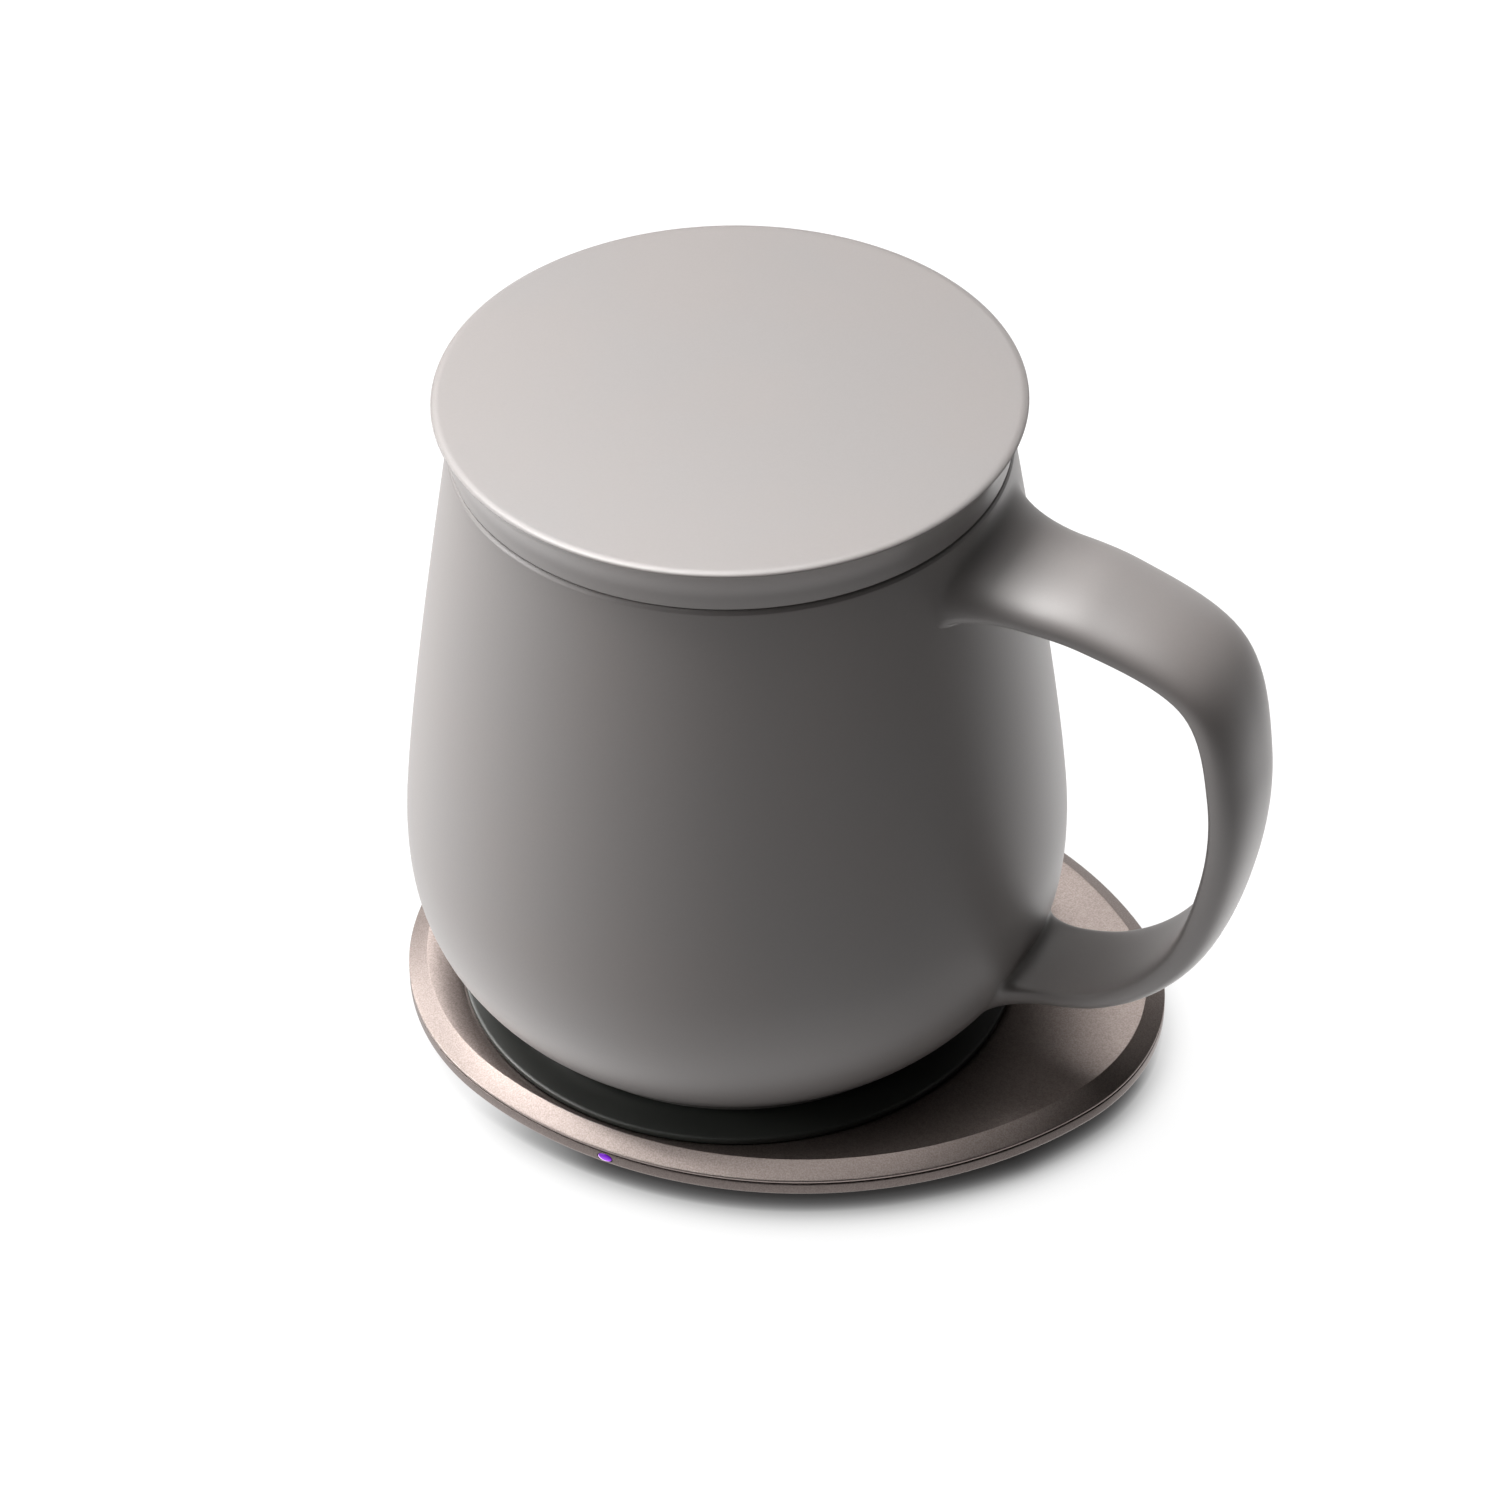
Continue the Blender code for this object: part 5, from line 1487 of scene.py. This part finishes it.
@dataclass
class Mug:
    """The ceramic body with its handle, and the heating module in its foot."""

    finishes: Finishes
    profile: MugProfile = field(default_factory=MugProfile)
    handle: HandleShape = field(default_factory=HandleShape)
    wall: float = 3.7 * MM
    rim_round: Point2 = (0.5 * MM, 0.9 * MM)
    cup_floor: float = 3.8 * MM
    cup_corner: float = 14.0 * MM
    recess_radius: float = 32.0 * MM
    top_reach: float = 8.5 * MM
    low_reach: float = 6.5 * MM
    top_fillet: Point3 = (4.6 * MM, 4.4 * MM, 1.2 * MM)
    low_fillet: Point3 = (3.0 * MM, 2.6 * MM, 2.2 * MM)
    fullness: float = 0.55
    margin: float = 0.4 * MM
    columns: int = 144
    top_patch: tuple[int, int] = (18, 12)
    low_patch: tuple[int, int] = (12, 18)
    wall_rows: tuple[int, int, int] = (5, 40, 2)
    rim_steps: int = 8
    cup_steps: tuple[int, int] = (28, 14)
    root_steps: int = 400
    foot_round: Point2 = (0.35 * MM, 0.9 * MM)
    recess_round: Point2 = (0.4 * MM, 0.5 * MM)
    cap_plate: float = 1.6 * MM
    cap_flange: float = 1.7 * MM
    cap_wall: float = 1.6 * MM
    cap_round: Point3 = (0.5 * MM, 0.2 * MM, 0.3 * MM)
    apron_steps: int = 5
    fillet_steps: int = 12
    stations: int = 70
    coil_hole: float = 6.0 * MM

    def __post_init__(self) -> None:
        """Read the height of the foot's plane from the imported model."""
        self.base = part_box("mug_body")[0].z
        self.recess_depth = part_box("heater_plate")[1].z + FIT_GAP - self.base

    def build(self) -> None:
        """Build and dress the body, the cap under it and the coil inside."""
        glaze = self.finishes.get(GLAZE)
        add_piece(self.build_body(), Body.MUG, glaze, ["mug_body"])
        polymer = self.finishes.get(POLYMER)
        add_piece(self.build_cap(), Body.MUG, polymer, ["base_cap"])
        self.build_coil()

    def _meet(self, point: Vector, direction: Vector) -> Vector:
        """Return where a line from outside the mug first meets its outer side.

        Args:
            point: A point outside.
            direction: The line's direction.

        Returns:
            The meeting point.
        """
        near, far = 0.0, self.profile.belly_radius
        for _ in range(HALVINGS):
            middle = (near + far) / 2
            place = point + direction * middle
            height = min(max(place.z, self.profile.foot_edge), self.profile.height)
            if math.hypot(place.x, place.y) > self.profile.radius(height):
                near = middle
            else:
                far = middle
        return point + direction * near

    def _root_share(self, from_top: bool) -> float:
        """Return the share of the handle's run where a root's fillet ends.

        Args:
            from_top: Whether the root is the upper one.

        Returns:
            The share.
        """
        start, sign = (0.0, 1.0) if from_top else (1.0, -1.0)
        run = 0.0
        previous = self.handle.centre(start)
        for index in range(1, self.root_steps):
            share = start + sign * index / self.root_steps
            point = self.handle.centre(share)
            if point.x > self.profile.radius(point.y):
                run += (point - previous).length
            if run > (self.top_reach if from_top else self.low_reach):
                return share
            previous = point
        return 0.5

    def _fillet(self, share: float, sign: float, grow: Point3) -> list[Ring]:
        """Return the rings of a root's fillet, from the body's side to the strap.

        Args:
            share: The share of the run where the fillet ends.
            sign: One to look ahead for the body, minus one to look back.
            grow: How far the fillet spreads on the body, to the sides, outwards and inwards.

        Returns:
            The rings.
        """
        toward = self.handle.frame(share)[3] * sign
        rows: list[Ring] = [[] for _ in range(self.fillet_steps)]
        for start, spread in zip(self.handle.ring(share), self.handle.ring(share, grow)):
            corner = self._meet(start, toward)
            edge = self._meet(spread, toward)
            near_body, near_strap = (end.lerp(corner, self.fullness) for end in (edge, start))
            knots = (edge, near_body, near_strap, start)
            for step in range(self.fillet_steps):
                rows[step].append(bezier(knots, step / self.fillet_steps))
        return rows

    def _apron(self, loop: Ring, edge: Ring) -> list[Ring]:
        """Return rings on the body's side between a patch's border and a fillet's edge.

        Args:
            loop: The border.
            edge: The fillet's edge.

        Returns:
            The rings between them.
        """
        rings = []
        for step in range(1, self.apron_steps):
            share = step / self.apron_steps
            ring = []
            for start, end in zip(loop, edge):
                point = start.lerp(end, share)
                turn = math.atan2(point.y, point.x)
                radius = self.profile.radius(point.z)
                ring.append(Vector((radius * math.cos(turn), radius * math.sin(turn), point.z)))
            rings.append(ring)
        return rings

    def _under(self) -> list[Point2]:
        """Return the profile of the recess, the foot's ring and the foot's rounded edge."""
        edge = self.profile.foot_edge
        foot = self.profile.foot_radius
        corners = (
            (self.recess_radius - 4 * MM, self.recess_depth, SHARP),
            (self.recess_radius, self.recess_depth, self.recess_round[0]),
            (self.recess_radius, 0.0, self.recess_round[1]),
            (foot - self.foot_round[0], 0.0, self.foot_round[1]),
            (foot, edge, SHARP),
        )
        return softened(corners, False)[:-1]

    def _inside(self) -> list[Point2]:
        """Return the profile of the rim and of the cup down to its floor."""
        profile = self.profile
        outer, inner = self.rim_round
        mouth = profile.rim_radius - self.wall
        drop = profile.height - inner
        points = []
        for angle in spaced(0.0, math.pi / 2, self.rim_steps)[1:]:
            reach = profile.rim_radius - outer + outer * math.cos(angle)
            points.append((reach, profile.height - outer + outer * math.sin(angle)))
        for angle in spaced(math.pi / 2, math.pi, self.rim_steps):
            points.append((mouth + inner + inner * math.cos(angle), drop + inner * math.sin(angle)))
        floor = self.recess_depth + self.cup_floor
        corner = floor + self.cup_corner
        for height in spaced(drop, corner, self.cup_steps[0])[1:]:
            points.append((profile.radius(height) - self.wall, height))
        centre = points[-1][0] - self.cup_corner
        for angle in spaced(0.0, math.pi / 2, self.cup_steps[1])[1:]:
            reach = centre + self.cup_corner * math.cos(angle)
            points.append((reach, corner - self.cup_corner * math.sin(angle)))
        return points

    def _patch_loop(self, rows: Point2, columns: int, downward: bool) -> list[tuple[int, int]]:
        """Return the grid places round a root's patch, in the order of the strap's section.

        Args:
            rows: The patch's first and last row.
            columns: Its number of columns.
            downward: Whether the strap's outer face meets its lower side.

        Returns:
            Rows and columns.
        """
        first, last = rows
        middle, half = (first + last) // 2, columns // 2
        ends = (first, last) if downward else (last, first)
        step = -1 if downward else 1
        places = [(row, half) for row in range(middle, ends[0], step)]
        places += [(ends[0], column) for column in range(half, -half, -1)]
        places += [(row, -half) for row in range(ends[0], ends[1], -step)]
        places += [(ends[1], column) for column in range(-half, half)]
        places += [(row, half) for row in range(ends[1], middle, step)]
        return [(row, column % self.columns) for row, column in places]

    def build_body(self) -> bpy.types.Object:
        """Return the body, its cup, its foot and its handle as one closed surface."""
        top_share, low_share = self._root_share(True), self._root_share(False)
        top = self._fillet(top_share, -1.0, self.top_fillet)
        low = self._fillet(low_share, 1.0, self.low_fillet)
        bands = []
        for rows in (low, top):
            heights = [point.z for point in rows[0]]
            bands.append((min(heights) - self.margin, max(heights) + self.margin))
        low_band, top_band = bands
        foot = self.profile.foot_edge
        below, between, above = self.wall_rows
        heights = spaced(foot, low_band[0], below)[:-1] + spaced(*low_band, self.low_patch[1])
        heights += spaced(low_band[1], top_band[0], between)[1:-1]
        heights += spaced(*top_band, self.top_patch[1])
        heights += spaced(top_band[1], self.profile.height - self.rim_round[0], above)[1:]
        under = self._under()
        side = [(self.profile.radius(height), height) for height in heights]
        profile = under + side + self._inside()
        low_first = len(under) + below
        low_rows = (low_first, low_first + self.low_patch[1])
        top_first = low_rows[1] + between
        top_rows = (top_first, top_first + self.top_patch[1])

        turn = math.tau / self.columns
        angles = [self.handle.azimuth + turn * column for column in range(self.columns)]
        bm = bmesh.new()
        grid = [
            [bm.verts.new((radius * math.cos(a), radius * math.sin(a), height)) for a in angles]
            for radius, height in profile
        ]
        patches = ((low_rows, self.low_patch[0]), (top_rows, self.top_patch[0]))
        for row in range(len(grid) - 1):
            for column in range(self.columns):
                if any(
                    rows[0] <= row < rows[1] and (column + count // 2) % self.columns < count
                    for rows, count in patches
                ):
                    continue
                after = (column + 1) % self.columns
                lower, upper = grid[row], grid[row + 1]
                bm.faces.new((lower[column], lower[after], upper[after], upper[column]))
        for row, height in ((grid[0], profile[0][1]), (grid[-1], profile[-1][1])):
            pole = bm.verts.new((0.0, 0.0, height))
            for column in range(self.columns):
                bm.faces.new((row[column], row[(column + 1) % self.columns], pole))

        shares = spaced(top_share, low_share, self.stations)
        places = self._patch_loop(top_rows, self.top_patch[0], False)
        top_loop = [grid[row][column] for row, column in places]
        places = self._patch_loop(low_rows, self.low_patch[0], True)
        low_loop = [grid[row][column] for row, column in places]
        rings = self._apron([vert.co for vert in top_loop], top[0]) + top
        rings += [self.handle.ring(share) for share in shares]
        low_apron = self._apron([vert.co for vert in low_loop], low[0])
        rings += list(reversed(low)) + list(reversed(low_apron))
        tube = [top_loop] + [[bm.verts.new(point) for point in ring] for ring in rings] + [low_loop]
        for lower, upper in zip(tube, tube[1:]):
            for index in range(len(lower)):
                after = (index + 1) % len(lower)
                bm.faces.new((lower[index], lower[after], upper[after], upper[index]))
        loose = [vert for vert in bm.verts if not vert.link_faces]
        bmesh.ops.delete(bm, geom=loose, context="VERTS")
        bmesh.ops.translate(bm, verts=bm.verts, vec=(0.0, 0.0, self.base))
        return make_mesh("body", bm, BODY_ANGLE)

    def build_cap(self) -> bpy.types.Object:
        """Return the cap that closes the foot's recess."""
        low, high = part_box("base_cap")
        radius = high.x
        flange = low.z + self.cap_plate
        wall = radius - self.cap_flange
        inner = wall - self.cap_wall
        foot_round, edge_round, root_round = self.cap_round
        corners = (
            (0.0, low.z, SHARP),
            (radius, low.z, foot_round),
            (radius, flange, FINE),
            (wall, flange, FINE),
            (wall, high.z, edge_round),
            (inner, high.z, edge_round),
            (inner, flange, root_round),
            (0.0, flange, SHARP),
        )
        return turned("foot_cap", softened(corners, False))

    def build_coil(self) -> None:
        """Build the mug's coil of round wire."""
        copper = self.finishes.get(COPPER)
        coil = winding("mug_coil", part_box("receiver_coil"), self.coil_hole, copper)
        add_piece(coil, Body.MUG, copper, ["receiver_coil"])


# Lid


@dataclass
class Lid:
    """The ceramic lid with its flared edge and its plug ring, and the seal on the plug."""

    finishes: Finishes
    foot_radius: float = 38.75 * MM
    foot_drop: float = 0.14 * MM
    edge_radius: float = 40.8 * MM
    waist_height: float = 1.6 * MM
    edge_height: float = 6.8 * MM
    edge_round: Point2 = (1.3 * MM, 0.5 * MM)
    crown_rise: float = 0.5 * MM
    crown_steps: int = 30
    wall: float = 3.4 * MM
    flare_power: float = 2.2
    side_steps: tuple[int, int] = (16, 12)
    plug_radius: float = 34.6 * MM
    plug_depth: float = 7.3 * MM
    plug_wall: float = 4.0 * MM
    plug_round: Point3 = (1.5 * MM, 0.6 * MM, 0.7 * MM)
    foot_round: Point2 = (1.0 * MM, 0.6 * MM)
    groove_round: float = 0.15 * MM
    groove_depth: float = 1.4 * MM
    groove_height: float = 2.4 * MM
    groove_top: float = 2.2 * MM
    seal_stand: float = 0.4 * MM
    seal_round: float = 0.14 * MM
    lid_steps: int = 216
    seal_steps: int = 160

    def __post_init__(self) -> None:
        """Read the height of the rim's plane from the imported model."""
        self.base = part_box("mug_body")[1].z + FIT_GAP

    def build(self) -> None:
        """Build and dress the cap and the seal."""
        glaze = self.finishes.get(GLAZE)
        add_piece(self.build_cap(), Body.LID, glaze, ["lid_cap"])
        silicone = self.finishes.get(SILICONE)
        add_piece(self.build_seal(), Body.LID, silicone, ["lid_seal"])

    def _side(self) -> list[Point2]:
        """Return the side from the waist up over the rounded edge to the start of the crown."""
        overhang = self.edge_radius - self.foot_radius
        flare = self.edge_height - self.waist_height
        points = []
        for share in spaced(0.0, 1.0, self.side_steps[0]):
            radius = self.foot_radius + overhang * share**self.flare_power
            points.append((radius, self.waist_height + flare * share))
        across, rise = self.edge_round
        for angle in spaced(0.0, math.pi / 2, self.side_steps[1])[1:]:
            reach = self.edge_radius - across + across * math.cos(angle)
            points.append((reach, self.edge_height + rise * math.sin(angle)))
        return points

    def build_cap(self) -> bpy.types.Object:
        """Return the lid."""
        top = self.edge_height + self.edge_round[1]
        plug_inner = self.plug_radius - self.plug_wall
        groove = self.plug_radius - self.groove_depth
        groove_low = -self.groove_top - self.groove_height
        ceiling = top - self.wall
        corners = (
            (0.0, ceiling, SHARP),
            (plug_inner, ceiling, self.plug_round[0]),
            (plug_inner, -self.plug_depth, self.plug_round[1]),
            (self.plug_radius, -self.plug_depth, self.plug_round[2]),
            (self.plug_radius, groove_low, self.groove_round),
            (groove, groove_low, self.groove_round),
            (groove, -self.groove_top, self.groove_round),
            (self.plug_radius, -self.groove_top, self.groove_round),
            (self.plug_radius, 0.0, 2 * FINE),
            (self.foot_radius - self.foot_round[0], 0.0, FINE),
            (self.foot_radius - self.foot_round[1], -self.foot_drop, FINE),
            (self.foot_radius, -self.foot_drop, 2 * FINE),
            (self.foot_radius, self.waist_height, SHARP),
        )
        profile = softened(corners, False)[:-1] + self._side()
        edge = profile[-1][0]
        for share in spaced(1.0, 0.3, self.crown_steps)[1:]:
            profile.append((edge * share, top + self.crown_rise * (1.0 - share**2)))
        profile.append((0.0, profile[-1][1]))
        raised = [(radius, height + self.base) for radius, height in profile]
        return turned("lid", raised, self.lid_steps)

    def build_seal(self) -> bpy.types.Object:
        """Return the silicone ring with its two lips."""
        inner = self.plug_radius - self.groove_depth + FIT_GAP
        outer = self.plug_radius + self.seal_stand
        low = self.base - self.groove_top - self.groove_height + FIT_GAP
        height = self.groove_height - 2 * FIT_GAP
        corners = [(inner, low, FINE), (self.plug_radius, low, FINE)]
        for share in (0.25, 0.5, 0.75):
            reach = self.plug_radius if share == 0.5 else outer
            corners.append((reach, low + height * share, self.seal_round))
        corners += [(self.plug_radius, low + height, FINE), (inner, low + height, FINE)]
        return turned("seal", softened(corners, True, 3), self.seal_steps, closed=True)


# Studio


def bearing(azimuth: float, elevation: float) -> Vector:
    """Return the unit direction at so many degrees round from the front and up from level."""
    turn, rise = math.radians(azimuth), math.radians(elevation)
    level = math.cos(rise)
    return Vector((math.sin(turn) * level, -math.cos(turn) * level, math.sin(rise)))


@dataclass(frozen=True)
class SoftBox:
    """A square area light that looks at the object."""

    azimuth: float
    elevation: float
    size: float
    power: float
    distance: float = 1.3
    tint: Colour = (1.0, 0.985, 0.975)

    def build(self, index: int, target: Vector) -> None:
        """Add the light.

        Args:
            index: Its number.
            target: The point that it looks at.
        """
        back = bearing(self.azimuth, self.elevation)
        data = bpy.data.lights.new(f"soft_box_{index}", "AREA")
        data.shape = "SQUARE"
        data.size = self.size
        data.energy = self.power
        data.color = self.tint
        light = bpy.data.objects.new(data.name, data)
        light.location = target + back * self.distance
        light.rotation_mode = "QUATERNION"
        light.rotation_quaternion = back.to_track_quat("Z", "Y")
        bpy.context.scene.collection.objects.link(light)


@dataclass
class Studio:
    """The ground, the lights and the camera at the photograph's angle."""

    finishes: Finishes
    turn: float = math.radians(14.58)
    tilt: float = math.radians(39.88)
    roll: float = math.radians(-0.91)
    camera_place: Point3 = (141.4 * MM, -535.7 * MM, 509.2 * MM)
    lens: float = 120.0
    sensor_width: float = 36.0
    clip: Point2 = (0.05, 50.0)
    outline: EggOutline = field(default_factory=EggOutline)
    ground_height: float = -0.03 * MM
    ground_under: tuple[float, ...] = (-30, -12, -6, -4, -3, -2, -1.5, -1, -0.5, 0)
    ground_near: tuple[float, ...] = (0.5, 1, 1.5, 2, 3, 4, 5, 6.5, 8, 10, 13)
    ground_far: tuple[float, ...] = (20, 40, 100, 400, 1500)
    wall_reach: float = 6000 * MM
    wall_steps: int = 12
    shade_depth: float = 2.55 * MM
    shade_power: float = 1.25
    shade_under: float = 1.2 * MM
    shade_growth: float = 2.1
    shade_shares: tuple[Point2, ...] = (
        (-180, 0.03),
        (-150, 0.02),
        (-135, 0.08),
        (-120, 0.335),
        (-105, 0.47),
        (-60, 0.57),
        (-45, 0.65),
        (-30, 0.80),
        (-15, 0.65),
        (0, 0.33),
        (20, 0.15),
        (45, 0.35),
        (140, 0.35),
        (180, 0.03),
    )
    ambient: float = 0.01
    glow_power: float = 10.0
    glow_tint: Colour = (1.0, 0.98, 0.975)
    glows: tuple[Point3, ...] = (
        (149.6, -50.0, 1.78),
        (-75.4, -50.0, 1.44),
        (-120.4, -50.0, 1.29),
        (14.6, -50.0, 0.91),
        (59.6, -50.0, 0.78),
        (-30.4, -50.0, 0.60),
        (-165.4, -15.0, 0.73),
        (-120.4, -15.0, 0.62),
        (149.6, -15.0, 0.56),
        (104.6, -15.0, 0.25),
    )
    target: Point3 = (10 * MM, 0.0, 50 * MM)
    boxes: tuple[SoftBox, ...] = (
        SoftBox(-105.4, 65.0, 0.7, 25.6),
        SoftBox(-75.4, 11.0, 0.4, 9.5),
        SoftBox(-165.4, 65.0, 0.7, 6.8),
        SoftBox(-105.4, 11.0, 0.4, 4.6),
        SoftBox(-135.4, 38.0, 0.7, 4.5),
        SoftBox(14.6, 89.0, 0.7, 4.6),
        SoftBox(-45.4, 11.0, 0.4, 2.4),
        SoftBox(-45.4, 65.0, 0.7, 2.2),
        SoftBox(164.6, 11.0, 0.4, 0.5),
    )

    def build(self) -> None:
        """Build the camera, the ground and the lights."""
        self.build_camera()
        self.build_ground()
        for index, box in enumerate(self.boxes):
            box.build(index, Vector(self.target))
        self.build_world()
        settings = bpy.context.scene.view_settings
        settings.view_transform = "Standard"
        settings.look = "None"

    def build_camera(self) -> None:
        """Set the camera where the photograph was taken from."""
        ahead = Vector((0.0, math.cos(self.tilt), -math.sin(self.tilt)))
        right = Vector((1.0, 0.0, 0.0))
        up = right.cross(ahead)
        side = right * math.cos(self.roll) + up * math.sin(self.roll)
        top = up * math.cos(self.roll) - right * math.sin(self.roll)
        axes = Matrix((side, top, -ahead)).transposed()
        data = bpy.data.cameras.new("camera")
        data.lens = self.lens
        data.sensor_width = self.sensor_width
        data.clip_start, data.clip_end = self.clip
        camera = bpy.data.objects.new("camera", data)
        rotation = Matrix.Rotation(self.turn, 3, "Z") @ axes
        camera.matrix_world = Matrix.Translation(self.camera_place) @ rotation.to_4x4()
        bpy.context.scene.collection.objects.link(camera)
        bpy.context.scene.camera = camera

    def _shade_share(self, angle: float) -> float:
        """Return how dark the painted contact shadow is at the coaster's outline.

        Args:
            angle: The direction from the middle, in degrees.

        Returns:
            The share of the glow that the painted shadow takes away.
        """
        for (low, first), (high, last) in zip(self.shade_shares, self.shade_shares[1:]):
            if low <= angle <= high:
                return first + (last - first) * (angle - low) / (high - low)
        return 0.0

    def build_ground(self) -> None:
        """Lay the pale ground in rings round the coaster, with the painted contact shadow on its
        points.

        Far out the ground curves up into a pale wall round the whole room.
        """
        mesh = bpy.data.meshes.new("ground")
        points: Ring = []
        shades: list[float] = []
        base = self.outline.ring(0.0, self.ground_height)
        reaches = self.ground_under + self.ground_near + self.ground_far
        rows = [(reach * MM, self.ground_height) for reach in reaches]
        for step in range(self.wall_steps):
            rise = 0.5 * math.pi * step / self.wall_steps
            height = self.wall_reach * math.sin(rise) + self.ground_height
            rows.append((self.wall_reach * math.cos(rise), height))
        for reach, height in rows:
            for start, point in zip(base, self.outline.ring(-reach, height)):
                share = self._shade_share(math.degrees(math.atan2(start.y, start.x)))
                points.append(point)
                # Painted contact shadow: it fades outside the outline and deepens under the
                # coaster.
                if reach > 0.0:
                    fall = (reach / self.shade_depth) ** self.shade_power
                    shades.append(share * math.exp(-fall))
                else:
                    full = min(share * self.shade_growth, 1.0)
                    shades.append(full - (full - share) * math.exp(reach / self.shade_under))
        count = len(base)
        faces = [tuple(range(count)), tuple(range(len(points) - count, len(points)))]
        for row in range(len(rows) - 1):
            low, high = row * count, (row + 1) * count
            for index in range(count):
                after = (index + 1) % count
                faces.append((low + index, high + index, high + after, low + after))
        mesh.from_pydata(points, [], faces)
        mesh.attributes.new("shade", "FLOAT", "POINT").data.foreach_set("value", shades)
        ground = bpy.data.objects.new("ground", mesh)
        bpy.context.scene.collection.objects.link(ground)
        mesh.materials.append(self.finishes.get(LightTable()))
        ground.visible_diffuse = False
        ground.visible_glossy = False
        ground.visible_transmission = False
        ground.visible_shadow = False

    def build_world(self) -> None:
        """Fill the room with a weak even light and the glow of the floor around the object."""
        graph = SkyGraph("studio")
        source = graph.node("ShaderNodeTexCoord", {}).outputs["Generated"]
        level: Value | float = self.ambient
        for azimuth, elevation, strength in self.glows:
            pair = {0: source, 1: tuple(bearing(azimuth, elevation))}
            dot = graph.node("ShaderNodeVectorMath", pair, operation="DOT_PRODUCT")
            facing = Value(graph, dot.outputs["Value"])
            level = ((facing + facing.size()) * 0.5) ** self.glow_power * strength + level
        sockets = {0: self.glow_tint, "Scale": level}
        tinted = graph.node("ShaderNodeVectorMath", sockets, operation="SCALE")
        graph.set(Color=tinted.outputs[0])
        bpy.context.scene.world = graph.world


def dress_inside(finishes: Finishes) -> None:
    """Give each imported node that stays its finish.

    Args:
        finishes: The finishes.
    """
    for finish, names in INSIDE_FINISHES:
        for name in names.split():
            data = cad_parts[name].data
            data.materials.clear()
            data.materials.append(finishes.get(finish))
            LOG.info("%s dressed with %s", name, finish.name)


def main() -> None:
    """Build the studio and every piece."""
    logging.basicConfig(level=logging.INFO, format="%(name)s: %(message)s")
    finishes = Finishes()
    builders: Sequence[Callable[[], None]] = (
        Studio(finishes).build,
        Coaster(finishes).build,
        Mug(finishes).build,
        Lid(finishes).build,
    )
    for build in builders:
        build()
    dress_inside(finishes)


if __name__ == "__main__":
    main()
